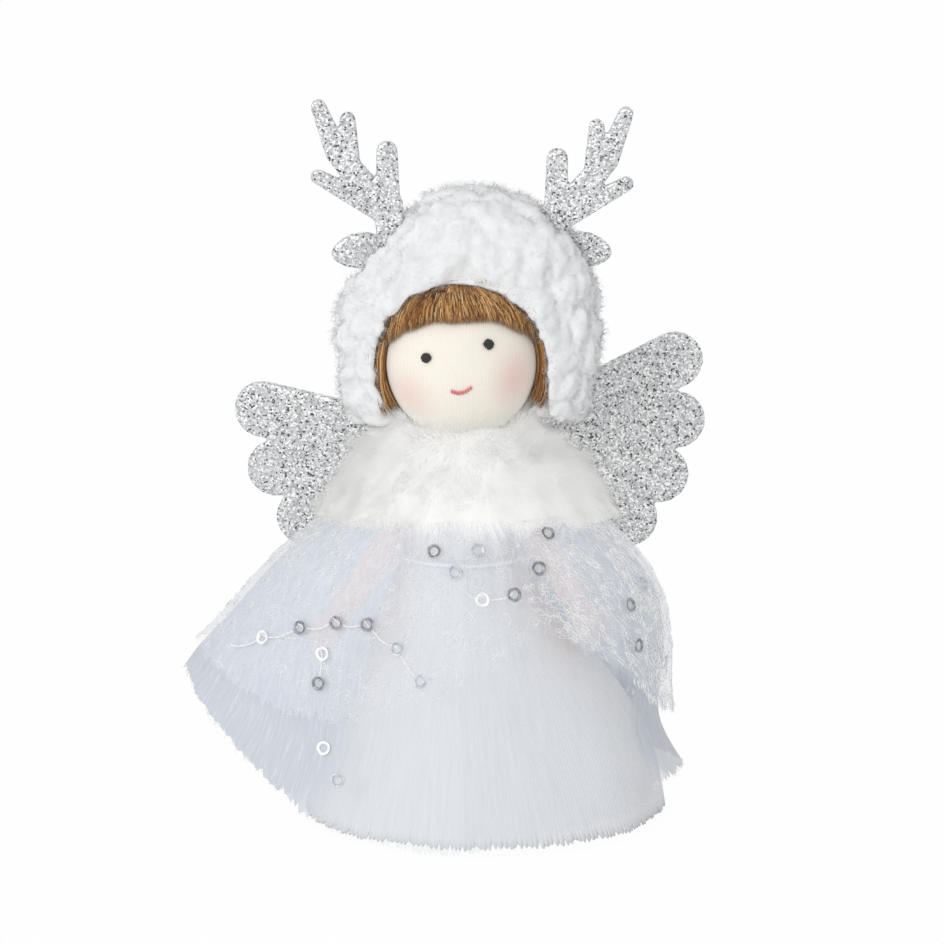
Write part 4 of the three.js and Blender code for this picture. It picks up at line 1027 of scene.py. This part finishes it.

# %% [markdown]
# ## Fur cape
# The cape is a ring of soft white fake fur that stands up round the chin and falls over the shoulders.
# Its backing follows the CAD ring, drawn in by part of the pile and raised to a collar at the neck. The
# fur is thousands of fine mesh fibres that lie along the backing, and neighbouring fibres lean alike, so
# they gather into soft tufts. A hair particle system could grow them too; here they are plain mesh fibres.

# %% Cape backing
# Fake fur: white acrylic fibres, which look softest where tufts turn into each other.
fur = fibre_material("white_acrylic_fur", "FDFDFB", "F6F6F4", 5)
HEAD_CENTRE = np.array([0.0, 0.0, 105.0])
HEAD_RADIUS = 17.2
HEAD_CLEARANCE = 0.3
PILE_DRAWN_IN = 0.9
CAPE_BACK = 25.2
CAPE_GLUED = 24
COLLAR_LIFT = 3.8
COLLAR_RADIUS = 14.5
COLLAR_WIDTH = 4.5
COLLAR_FROM = 78
TUFT_RELIEF = 0.5
TUFT_SIZE = 9

backing_mesh = soft_copy("fur_cape", 0.9, 8)
backing = points_of(backing_mesh)
backing_normals = normals_of(backing_mesh)
x, y, z = backing.T
upwards_out = unit(backing * FLAT + 25 * UP)
outside = fade((backing_normals * upwards_out).sum(axis=1), 0, 0.5)
free = outside * fade(y, CAPE_GLUED, -4)
tuft = TUFT_RELIEF * drift(backing, TUFT_SIZE, 7)[:, 0]
raised = backing + ((tuft - PILE_DRAWN_IN) * free)[:, None] * backing_normals
collar = bell(np.hypot(x, y), COLLAR_RADIUS, COLLAR_WIDTH) * free * fade(z, COLLAR_FROM, 6)
raised[:, 2] += COLLAR_LIFT * collar
under_head = np.maximum(0, HEAD_RADIUS ** 2 - raised[:, 0] ** 2 - raised[:, 1] ** 2)
head_floor = np.maximum(HEAD_CENTRE[2] - np.sqrt(under_head) - HEAD_CLEARANCE, z)
raised[:, 2] = np.where(under_head > 0, np.minimum(raised[:, 2], head_floor), raised[:, 2])
move_points(backing_mesh, raised)
backing_piece = add_piece("cape_backing", backing_mesh, fur, "torso", "fur", "fur_cape")
let_light_through(backing_piece)
print("backing points:", len(backing), "top at", raised[:, 2].max().round(1))

# %% Cape fur
FUR_SECTORS = 4
FUR_PER_SECTOR = 11000
FUR_LENGTH = 3.8
FUR_RADIUS = 0.035
FUR_STEPS = 4
FUR_TOWARDS_LAMP = 0.6
FUR_OUTWARDS = 0.5
FUR_DOWNHILL = 0.8
FUR_TUFTING = 0.28
FUR_STRAYING = 0.14
FUR_DROOP = 0.3
FUR_WAVE = 0.25
FUR_TUFTS = 0.3
BACK_FUR_FROM = 17
BACK_FUR_SHARE = 0.45
BARE_BACK_FROM = 24.6
BARE_BACK_DENSITY = 0.05
NECK_FUR_RADIUS = 13
NECK_FUR_WIDTH = 4
# The rim is denser, dips at the front and rises over the arms
RIM_FROM = 75
RIM_HEIGHT = 3
RIM_DENSITY = 2.5
RIM_DIP = 0.6
RIM_RISE = 0.5
ARMS_AT = (-20, 18)
# One thick tuft stands up at the right of the neck, this many degrees round and this far from the axis
STANDING_AT = 56
STANDING_SPREAD = 17
STANDING_RADIUS = 21
STANDING_WIDTH = 4.5
# The fur lies pressed flat under the hood
HOOD_FLOOR = 88.4
HOOD_INSIDE = 17
HOOD_FRONT = -6


def near_rim(heights):
    return fade(heights, RIM_FROM, -RIM_HEIGHT)


def outer_face(places, normals):
    away = unit(places * FLAT + 14 * UP)
    facing_out = ((normals * away).sum(axis=1) > 0.05).astype(float)
    dense = 1 + RIM_DENSITY * near_rim(places[:, 2])
    return facing_out * np.where(places[:, 1] > BARE_BACK_FROM, BARE_BACK_DENSITY, dense)


rng = np.random.default_rng(8)
for sector in range(FUR_SECTORS):
    def in_sector(places, normals):
        angle = np.arctan2(places[:, 0], -places[:, 1]) % (2 * np.pi)
        return outer_face(places, normals) * (np.floor(angle / (2 * np.pi / FUR_SECTORS)) == sector)

    root, away = scatter(backing_mesh, in_sector, FUR_PER_SECTOR, rng)
    x, y, z = (root[:, axis:axis + 1] for axis in range(3))
    outwards = unit(root * FLAT)
    from_axis = np.hypot(x, y)
    near_neck = bell(from_axis, NECK_FUR_RADIUS, NECK_FUR_WIDTH)
    downhill = unit(away[:, 2:3] * away - UP)
    lean = FUR_OUTWARDS * away + FUR_DOWNHILL * downhill * (1 - near_neck)
    lean = lean + near_neck * (0.9 * UP + 0.5 * outwards)
    lean = unit(lean + FUR_TUFTING * drift(root, 7, 9) + FUR_STRAYING * rng.normal(size=root.shape))
    turned = np.degrees(np.arctan2(x, -y))
    standing = bell(turned, STANDING_AT, STANDING_SPREAD)
    standing = standing * bell(from_axis, STANDING_RADIUS, STANDING_WIDTH)
    lean = unit(lean + standing * (1.6 * UP - 0.2 * outwards))
    in_front = bell(x, 2, 8) * (y < 0)
    low = np.clip((z - 70) / 7, 0.75 + 0.35 * in_front, 1.1)
    tufted = 1 + FUR_TUFTS * drift(root, 5, 21)[:, :1]
    length = FUR_LENGTH * rng.uniform(0.6, 1.15, (len(root), 1)) * low * tufted
    length = length * (1 + 0.35 * near_neck + 0.3 * fade(x, 18, 8) + 0.9 * standing)
    over_arms = sum(bell(x, place, 9) for place in ARMS_AT) * (y < 0)
    length = length * (1 + near_rim(z) * (RIM_DIP * in_front - RIM_RISE * over_arms))
    length = length * np.where(y > BACK_FUR_FROM, BACK_FUR_SHARE, 1)
    share = np.linspace(0, 1, FUR_STEPS)[None, :, None]
    droop = downhill[:, None] * (FUR_DROOP * share ** 2) * (1 - near_neck[:, None])
    paths = root[:, None] + length[:, None] * (lean[:, None] * share + droop)
    paths += FUR_WAVE * share * drift(paths, 2.4, 10)
    paths[..., 1] = np.minimum(paths[..., 1], CAPE_BACK)
    under_hood = (np.hypot(paths[..., 0], paths[..., 1]) > HOOD_INSIDE) & (paths[..., 1] > HOOD_FRONT)
    paths[..., 2] = np.where(under_hood, np.minimum(paths[..., 2], HOOD_FLOOR), paths[..., 2])
    radii = FUR_RADIUS * np.linspace(1, 0.55, FUR_STEPS - 1) * np.ones((len(root), 1))
    lit = away * (1 - near_neck) + near_neck * (outwards + 0.6 * UP)
    lit = unit(lit + FUR_TOWARDS_LAMP * LAMP_SIDE)
    fur_piece = add_piece(f"cape_fur_{sector + 1}", tubes(paths, radii, facing=lit), fur, "torso", "fur")
    let_light_through(fur_piece)
print("fur fibres:", FUR_SECTORS * FUR_PER_SECTOR)

# %% [markdown]
# ## Face
# The head is a foam ball under a fine cream knit, gathered and tied at the neck. The ball is turned as a
# grid that runs into the gathered neck. Its knit is a bump of small stitches, and the blush on both
# cheeks is painted into the colour by distance from a point on each cheek.

# %% Face knit
CHEEKS = (((-11.7, -11.4, 99.6), 8.6, 0.42), ((12.2, -12.0, 103.4), 9.4, 0.55))
BLUSH = linear("EDBDB8")
STITCH_WIDTH = 0.5

# Fine cotton jersey: matt cream, small upright stitches that only just show, pink powder on the cheeks.
knit, tree = empty_material("cream_jersey")
place = add_node(tree, "TexCoord").outputs["Object"]
columns = add_node(tree, "TexWave", {"Vector": place, "Distortion": 4, "Detail": 2, "Detail Scale": 2,
                                     "Scale": bands_apart(STITCH_WIDTH)}, bands_direction="X")
loops = add_node(tree, "TexNoise", {"Vector": place, "Detail": 2, "Scale": per_metre(STITCH_WIDTH * 1.2)})
stitch = add_node(tree, "Math", {0: columns.outputs["Fac"], 1: loops}, operation="MULTIPLY")
cream = add_node(tree, "ValToRGB", {"Fac": stitch}, [(0.0, "F4ECDF"), (0.5, "FBF6EC")])
colour = cream.outputs["Color"]
for centre, spread, strength in CHEEKS:
    away = add_node(tree, "VectorMath", {0: place, 1: Vector(centre) * MM}, operation="DISTANCE")
    powder = add_node(tree, "MapRange", {"Value": away.outputs["Value"], "From Min": 0.5 * MM,
                                         "From Max": spread * MM, "To Min": strength, "To Max": 0.0},
                      interpolation_type="SMOOTHSTEP")
    blush = add_node(tree, "Mix", {"Factor": powder, 6: colour, 7: BLUSH}, data_type="RGBA")
    colour = blush.outputs[2]
bump = add_node(tree, "Bump", {"Height": stitch, "Strength": 0.35, "Distance": 0.12 * MM})
finish_material(tree, {"Base Color": colour, "Roughness": 0.9, "Sheen Weight": 0.25, "Normal": bump})
print("cheeks:", len(CHEEKS))

# %% Face cover
FACE_COLUMNS = 160
FACE_ROWS = 90
NECK_RADIUS = 4.6
NECK_PROFILE = [(5.4, 88.0), (4.75, 87.0), (4.45, 86.0), (4.3, 85.0), (4.5, 84.0),
                (4.75, 83.2), (4.7, 82.7)]
GATHERS = 22
GATHER_DEPTH = 0.22
GATHERS_FROM = 92
FACE_UNEVENNESS = 0.06

neck_latitude = math.acos(NECK_RADIUS / HEAD_RADIUS)
latitude = np.linspace(math.pi / 2 - 0.02, -neck_latitude + 0.12, FACE_ROWS)
ball = np.stack([HEAD_RADIUS * np.cos(latitude), HEAD_CENTRE[2] + HEAD_RADIUS * np.sin(latitude)], axis=1)
profile = np.concatenate([ball, np.array(NECK_PROFILE)])
turn = even_turns(FACE_COLUMNS)
pleats = fade(profile[:, 1], GATHERS_FROM, -6)[:, None] * np.cos(GATHERS * turn)[None]
head_points = around(profile[:, :1] + GATHER_DEPTH * pleats, turn[None], profile[:, 1:])
head_points += FACE_UNEVENNESS * drift(head_points, 11, 11)
face_piece = add_piece("knit_head", closed_ring_mesh(head_points), knit, "head", "knit",
                       "face_cover", "head_ball")
print("head points:", head_points.shape)

# %% [markdown]
# ## Eyes and smile
# Both are embroidered. An eye is a disc of satin stitch: a row of short black threads side by side,
# domed over the knit. The smile is a row of slanted coral stitches along a shallow curve.

# %% Eyes and smile
STITCH_SIDES = 6
EYE_RADIUS = 1.18
EYE_STITCHES = 9
EYE_STEPS = 9
EYE_THREAD = 0.17
EYE_SEAT = 0.16
EYE_DOME = 0.32
EYE_DOME_RADIUS = 1.45 * EYE_RADIUS
SMILE_LATITUDE = -12.5
SMILE_SPAN = 7
SMILE_SAG = 2.6
SMILE_STITCHES = 9
SMILE_THREAD = 0.23
SMILE_SEAT = 0.12
SMILE_DOME = 0.28
SMILE_HALF_HEIGHT = 1.35
SMILE_STEPS = (-1, -0.6, 0, 0.6, 1)
FACE_ROLL = 12

# Rayon embroidery thread: glossier than sewing thread, so each stitch has its own small highlight.
black_thread = thread_material("black_rayon_thread", "26221F", "0E0C0B", 0.45)
coral_thread = thread_material("coral_rayon_thread", "F08A8A", "E26C70", 0.5)


def on_head(radius, longitude, latitude):
    flat = radius * np.cos(np.radians(latitude))
    return around(flat, np.radians(longitude), radius * np.sin(np.radians(latitude))) + HEAD_CENTRE


rng = np.random.default_rng(12)
for node in ("eye_left", "eye_right"):
    outwards = unit(middle_and_half(node)[0] - HEAD_CENTRE)
    aside = unit(np.cross(UP, outwards))
    upright = np.cross(outwards, aside)
    offset = np.linspace(-0.93, 0.93, EYE_STITCHES) * EYE_RADIUS
    reach = np.sqrt(EYE_RADIUS ** 2 - offset ** 2) * rng.uniform(0.94, 1.1, EYE_STITCHES)
    share = np.linspace(-1, 1, EYE_STEPS)
    tilt_in = 0.15 * rng.normal(size=EYE_STITCHES)
    sideways = offset[:, None] + tilt_in[:, None] * share * 0.3
    along = reach[:, None] * share
    domed = np.sqrt(np.maximum(0, 1 - (sideways ** 2 + along ** 2) / EYE_DOME_RADIUS ** 2))
    height = EYE_SEAT + EYE_DOME * domed
    flat = sideways[..., None] * aside + along[..., None] * upright
    stitch_paths = HEAD_CENTRE + (HEAD_RADIUS + height[..., None]) * unit(HEAD_RADIUS * outwards + flat)
    mesh = tubes(stitch_paths, np.full((EYE_STITCHES, EYE_STEPS - 1), EYE_THREAD), STITCH_SIDES)
    add_piece(node + "_stitches", mesh, black_thread, "head", "eye_thread", node)

share = np.linspace(-1, 1, SMILE_STITCHES)[:, None]
rise = share ** 2 * SMILE_SAG + share * SMILE_SPAN * math.sin(math.radians(FACE_ROLL))
step = np.array(SMILE_STEPS)
lean = 0.16 * share + 0.1
latitudes = SMILE_LATITUDE + rise + step * SMILE_HALF_HEIGHT
stitch_paths = on_head(HEAD_RADIUS + SMILE_SEAT, share * SMILE_SPAN - step * lean, latitudes)
stitch_paths[:, 1:4] += SMILE_DOME * unit(stitch_paths[:, 1:4] - HEAD_CENTRE)
smile_mesh = tubes(stitch_paths, np.full((SMILE_STITCHES, 4), SMILE_THREAD), STITCH_SIDES)
add_piece("smile_stitches", smile_mesh, coral_thread, "head", "smile_thread", "smile")
print("stitches:", 2 * EYE_STITCHES + SMILE_STITCHES)

# %% [markdown]
# ## Hair
# The hair is golden brown combed fibre, glued on as a fringe and two side locks. The fringe's strands
# run over the forehead from under the hood to an uneven edge, where they tuck in. The locks leave the
# head at the temples and hang straight down beside the cheeks. Each strand is a tube with its own tone,
# because combed fibre mixes light and dark.

# %% Hair material
# Combed mohair-like fibre: golden brown with lighter and darker strands and a soft sheen along them.
HAIR_TONES = [(0.0, "4A2A0C"), (0.3, "9A602A"), (0.7, "DCA058"), (1.0, "FFE4AC")]
hair = patterned_material("combed_brown_fibre", "Attribute", {}, HAIR_TONES,
                          {"Roughness": 0.5, "Sheen Weight": 0.2}, attribute_name="strand_tone")

FRINGE_LATITUDE = 39
FRINGE_LEAN = 0.03
FRINGE_DROOP = 27
FRINGE_LEVEL = 25
FRINGE_HALF_WIDTH = 80
HAIR_TOP = 76
HAIR_SEAT = 0.35
HAIR_THICKNESS = 2.2
STRAND_STEPS = 8
STRAND_RADIUS = 0.095
FRINGE_STRANDS = 4800
FRINGE_CRIMP = 1.4
FRINGE_FLUFF = 0.3


# The latitude on the head where the fringe ends
def fringe_edge(longitude):
    beyond = np.maximum(0, np.abs(longitude) - FRINGE_LEVEL) / (FRINGE_HALF_WIDTH - FRINGE_LEVEL)
    return FRINGE_LATITUDE + FRINGE_LEAN * np.clip(longitude, -40, 40) - FRINGE_DROOP * beyond ** 1.3


def add_hair(name, node, paths, rng):
    count = len(paths)
    radii = STRAND_RADIUS * rng.uniform(0.7, 1.2, (count, 1)) * np.linspace(1, 0.7, STRAND_STEPS - 1)
    add_piece(name, tubes(paths, radii, tones=rng.uniform(0, 1, count)), hair, "head", "hair", node)
    print(name, "strands:", count)


# %% Fringe
rng = np.random.default_rng(14)
longitude = rng.uniform(-FRINGE_HALF_WIDTH, FRINGE_HALF_WIDTH, FRINGE_STRANDS)
depth = rng.uniform(0, 1, FRINGE_STRANDS) ** 0.6
lower = fringe_edge(longitude) + rng.uniform(-2.6, 2.2, FRINGE_STRANDS) + 4 * (1 - depth)
share = np.linspace(0, 1, STRAND_STEPS)
latitudes = HAIR_TOP + (lower - HAIR_TOP)[:, None] * share
sway = 1.6 * np.sin(longitude[:, None] * 0.23 + 5 * share) * share
sway = sway + 2.4 * rng.normal(size=(FRINGE_STRANDS, 1)) * share
wave = rng.uniform(0, 2 * np.pi, (FRINGE_STRANDS, 1)) + 12 * share
sway = sway + FRINGE_CRIMP * np.sin(wave)
tuck = 1 - 0.75 * fade(share, 0.6, 0.4) ** 2
out = HAIR_SEAT + depth[:, None] * (HAIR_THICKNESS * tuck + FRINGE_FLUFF * np.cos(wave))
fringe_paths = on_head(HEAD_RADIUS + out, longitude[:, None] + sway, latitudes)
add_hair("hair_fringe_strands", "hair_fringe", fringe_paths, rng)

# %% Side locks
LOCK_STRANDS = 1700
LOCK_FROM = 76
LOCK_TO = 104
LOCK_BULGE = 0.9
LOCK_DRAWN_IN = 1.2
LOCK_HANG = 103
LOCKS = (("hair_lock_left", -1, 92.6), ("hair_lock_right", 1, 94.6))

for node, side, foot in LOCKS:
    longitude = rng.uniform(LOCK_FROM, LOCK_TO, LOCK_STRANDS)
    depth = rng.uniform(0, 1, LOCK_STRANDS) ** 0.7
    top = HEAD_CENTRE[2] + HEAD_RADIUS * np.sin(np.radians(fringe_edge(longitude) + 8))
    bottom = foot + rng.uniform(-1.0, 1.6, LOCK_STRANDS) + 2.5 * (1 - depth)
    height = top[:, None] + (bottom - top)[:, None] * share
    above = np.maximum(height, LOCK_HANG) - HEAD_CENTRE[2]
    hanging = fade(height, LOCK_HANG, foot - LOCK_HANG)
    hugging = np.sqrt(HEAD_RADIUS ** 2 - (height - HEAD_CENTRE[2]) ** 2) + HAIR_SEAT
    bulge = LOCK_BULGE * np.sin(np.pi * hanging) - LOCK_DRAWN_IN * hanging ** 3
    straight = np.sqrt(HEAD_RADIUS ** 2 - above ** 2) + HAIR_THICKNESS + bulge
    radius = hugging + (straight - hugging) * depth[:, None]
    turned = np.radians(side * (longitude[:, None] + 3 * rng.normal(size=(LOCK_STRANDS, 1)) * hanging))
    add_hair(node + "_strands", node, around(radius, turned, height) + HEAD_CENTRE * FLAT, rng)

# %% [markdown]
# ## Hood
# The hood is white sherpa plush: a knit backing hidden under curled wool-like pile, which gathers in
# soft lumps a few millimetres across. The panels are remeshed from the CAD solids, lumps are raised with
# a cell pattern, and short curly fibres cover them, so the outline is fuzzy from every side.

# %% Hood panels
# Sherpa plush: white and matt, a little greyer in patches, so its lumps look soft.
plush = fibre_material("white_sherpa_plush", "F3F4F5", "E8EAEB", 4)

# Curled pile: white like the plush; along the face opening some curls are grey with caught glitter dust.
curls = patterned_material("curled_sherpa_pile", "Attribute", {},
                           [(0.0, "4C4F54"), (0.5, "B4B8BC"), (1.0, "F3F4F5")], SOFT_FINISH,
                           attribute_name="strand_tone")
HOOD_CENTRE = np.array([1.4, 4.0, 109.0])
HOOD_HALF_WIDTH = 30.2
HOOD_DEPTH_AHEAD = 15.0
HOOD_DEPTH_BEHIND = 26.0
HOOD_HALF_HEIGHT = 33.5
HOOD_ROUNDNESS = 2.2
HOOD_LEFT_SLOPE = 0.5
HOOD_RIGHT_FULLNESS = 0.2
OPENING_RADIUS = 19.6
LUMPS = ((5.6, 2.3), (2.3, 0.7))
LUMP_SOFTNESS = 9
LUMP_REACH = 0.75
LUMP_MIDDLE = 0.6
CROWN_SWELL = 1.0
HEM_DROOP = 2.0
RIGHT_DROOP_SHARE = 0.4
FLAP_CURL = 3.6
FLAP_ROUNDING = 2.4
BRIM_DROOP = 1.05
BRIM_WIDTH = 2.5
# Where each change of the panels begins, and over which length it grows
CROWN_FROM = (130, 10)
WALL_FROM = (0.88, 0.08)
HEM_FROM = (97, -7)
HEM_WALL_FROM = (0.7, 0.2)
HEM_SIDES_FROM = (20, 5)
FLAP_AHEAD_FROM = (4, -4)
CURL_BELOW = (101, -8)
CURL_FROM = (-24, 4)
CORNER_BELOW = (97, -6)
CORNER_FROM = (26, -6)
BRIM_AHEAD_FROM = (-5, -4)
BRIM_ABOVE = (112, 8)


# How far out a place lies in the hood's wall: 1 on the CAD hood's outside, less towards the head
def hood_depth(places):
    offset = places - HOOD_CENTRE
    direction = unit(offset)
    shoulder = 2 * np.abs(direction[:, 0]) * np.maximum(0, direction[:, 2])
    fullness = np.where(direction[:, 0] < 0, -HOOD_LEFT_SLOPE, HOOD_RIGHT_FULLNESS)
    roundness = HOOD_ROUNDNESS + shoulder * fullness
    half_depth = np.where(offset[:, 1] < 0, HOOD_DEPTH_AHEAD, HOOD_DEPTH_BEHIND)
    halves = np.stack(np.broadcast_arrays(HOOD_HALF_WIDTH, half_depth, HOOD_HALF_HEIGHT), axis=1)
    return (np.abs(offset / halves) ** roundness[:, None]).sum(axis=1) ** (1 / roundness)


# Rounded lumps of about one size, 1 in their middles
def lumps(places, size):
    heights = []
    for point in places / size:
        distances = noise.voronoi(Vector(point))[0]
        total = sum(math.exp(-LUMP_SOFTNESS * distance) for distance in distances)
        near = -math.log(total) / LUMP_SOFTNESS
        heights.append(1 - min(1, max(0, near) / LUMP_REACH) ** 2)
    return np.array(heights)


hood_meshes = {}
for node in ("hood_front", "hood_back"):
    mesh = soft_copy(node, 0.8, 14)
    places, normals = points_of(mesh), normals_of(mesh)
    x, y, z = places.T
    depth = hood_depth(places)
    warped = places + 1.2 * drift(places, 6, 15)
    raise_by = sum(height * (lumps(warped, size) - LUMP_MIDDLE) for size, height in LUMPS)
    raise_by = raise_by + CROWN_SWELL * fade(z, *CROWN_FROM)
    moved = places + normals * (fade(depth, *WALL_FROM) * raise_by)[:, None]
    # The hem sags at the sides, more at the left
    low = fade(z, *HEM_FROM) * fade(depth, *HEM_WALL_FROM) * fade(np.abs(x), *HEM_SIDES_FROM)
    moved[:, 2] -= HEM_DROOP * low * np.where(x < 0, 1, RIGHT_DROOP_SHARE)
    # The left flap curls in beside the cheek, and the right flap's corner is rounded
    in_front = fade(y, *FLAP_AHEAD_FROM)
    curl = fade(z, *CURL_BELOW) * fade(x, *CURL_FROM) * (x < 0)
    moved[:, 0] += FLAP_CURL * curl * in_front
    corner = fade(x, *CORNER_FROM) * (x > 0) * fade(z, *CORNER_BELOW)
    moved[:, 2] += FLAP_ROUNDING * corner * in_front
    # The brim droops a little over the fringe
    from_axis = np.hypot(x, z - HEAD_CENTRE[2])
    brim = bell(from_axis, OPENING_RADIUS, BRIM_WIDTH) * fade(y, *BRIM_AHEAD_FROM) * fade(z, *BRIM_ABOVE)
    moved[:, 2] -= BRIM_DROOP * brim
    move_points(mesh, moved)
    panel = add_piece(node + "_plush", mesh, plush, "head", "plush", node)
    hood_meshes[node] = mesh
    print(node, "points:", len(places))

# %% Hood pile
PILE_PER_PANEL = 9000
PILE_LENGTH = 1.5
PILE_RADIUS = 0.04
PILE_STEPS = 4
PILE_CURL = 4.5
OPENING_BAND = 1.6
OPENING_PILE = 1.2
DUSTY_SHARE = 0.6
DUSTY_LENGTH = 0.5


# Pile grows on the hood's outside and round the edge of the face opening
def beside_opening(places):
    from_axis = np.hypot(places[:, 0], np.maximum(0, places[:, 2] - HEAD_CENTRE[2]))
    return (np.abs(from_axis - OPENING_RADIUS) < OPENING_BAND) & (places[:, 1] < 1)


def hood_outside(places, normals):
    return np.where(beside_opening(places), OPENING_PILE, (hood_depth(places) > 0.9).astype(float))


rng = np.random.default_rng(16)
for node, mesh in hood_meshes.items():
    root, away = scatter(mesh, hood_outside, PILE_PER_PANEL, rng)
    lean = unit(away + 0.6 * rng.normal(size=root.shape))
    side = unit(np.cross(lean, rng.normal(size=root.shape)))
    dusty = beside_opening(root) & (root[:, 0] > -2) & (root[:, 2] > 104)
    dusty &= rng.uniform(size=len(root)) < DUSTY_SHARE
    length = PILE_LENGTH * rng.uniform(0.5, 1.2, (len(root), 1, 1))
    length = length * np.where(dusty, DUSTY_LENGTH, 1)[:, None, None]
    share = np.linspace(0, 1, PILE_STEPS)[None, :, None]
    curl = 0.35 * np.sin(share * PILE_CURL) * side[:, None]
    curl = curl + 0.3 * (1 - np.cos(share * PILE_CURL)) * np.cross(lean, side)[:, None]
    paths = root[:, None] + length * (lean[:, None] * share + curl)
    radii = PILE_RADIUS * np.linspace(1, 0.6, PILE_STEPS - 1) * np.ones((len(root), 1))
    tones = np.where(dusty, rng.uniform(0, 0.7, len(root)), rng.uniform(0.9, 1, len(root)))
    pile_mesh = tubes(paths, radii, facing=away, tones=tones)
    let_light_through(add_piece(node + "_pile", pile_mesh, curls, "head", "plush"))
print("pile fibres:", 2 * PILE_PER_PANEL)

# %% [markdown]
# ## Wings, antlers and ears
# These are cut from a soft sheet faced with coarse silver glitter. Each flake lies at its own angle, so
# one flashes white while its neighbour looks dark. The sheets are remeshed from the CAD solids with eased
# edges, and a cell pattern the size of a flake tilts each flake by a bump and also paints that flash or
# darkness into its base colour, as a painted glint or a painted dark reflection.

# %% Glitter sheets
FLAKE_SIZE = 0.4
# Flake colours: the darkest paint dark reflections and the white paint lamp glints
FLAKE_GLINT_AND_SHADE_TONES = [(0.0, "545558"), (0.08, "A7A9AB"), (0.24, "C7C9CA"), (0.60, "DFE0E1"), (0.83, "FFFFFF")]
SHEET_VOXEL = 0.4
FLAKE_LIFT = 0.05

# Glitter foam sheet: polyester flakes in clear binder, grey on the whole; the white flake tones are
# painted glints and the dark ones painted dark reflections, added to the flakes' own tilt.
glitter, tree = empty_material("silver_glitter_sheet")
place = add_node(tree, "TexCoord").outputs["Object"]
flakes = add_node(tree, "TexVoronoi", {"Vector": place, "Scale": per_metre(FLAKE_SIZE)})
parts = add_node(tree, "SeparateColor", {"Color": flakes.outputs["Color"]}).outputs
tone = add_node(tree, "ValToRGB", {"Fac": parts["Red"]}, FLAKE_GLINT_AND_SHADE_TONES)
tone.color_ramp.interpolation = "CONSTANT"
shine = add_node(tree, "MapRange", {"Value": parts["Green"], "To Min": 0.15, "To Max": 0.55})
tilted = add_node(tree, "Bump", {"Height": parts["Blue"], "Strength": 0.5, "Distance": 0.15 * MM})
finish_material(tree, {"Base Color": tone, "Metallic": 0.35, "Roughness": shine, "Normal": tilted})

SHEET_BODIES = {"antler_left": "head", "antler_right": "head", "ear_left": "head", "ear_right": "head",
                "wing_bridge": "torso", "wing_left": "left_wing", "wing_right": "right_wing"}
for node, body in SHEET_BODIES.items():
    mesh = soft_copy(node, SHEET_VOXEL, 6)
    move_points(mesh, points_of(mesh) + FLAKE_LIFT * normals_of(mesh))
    add_piece(node + "_glitter", mesh, glitter, body, "glitter_sheet", node)
    print(node, "faces:", len(mesh.polygons))
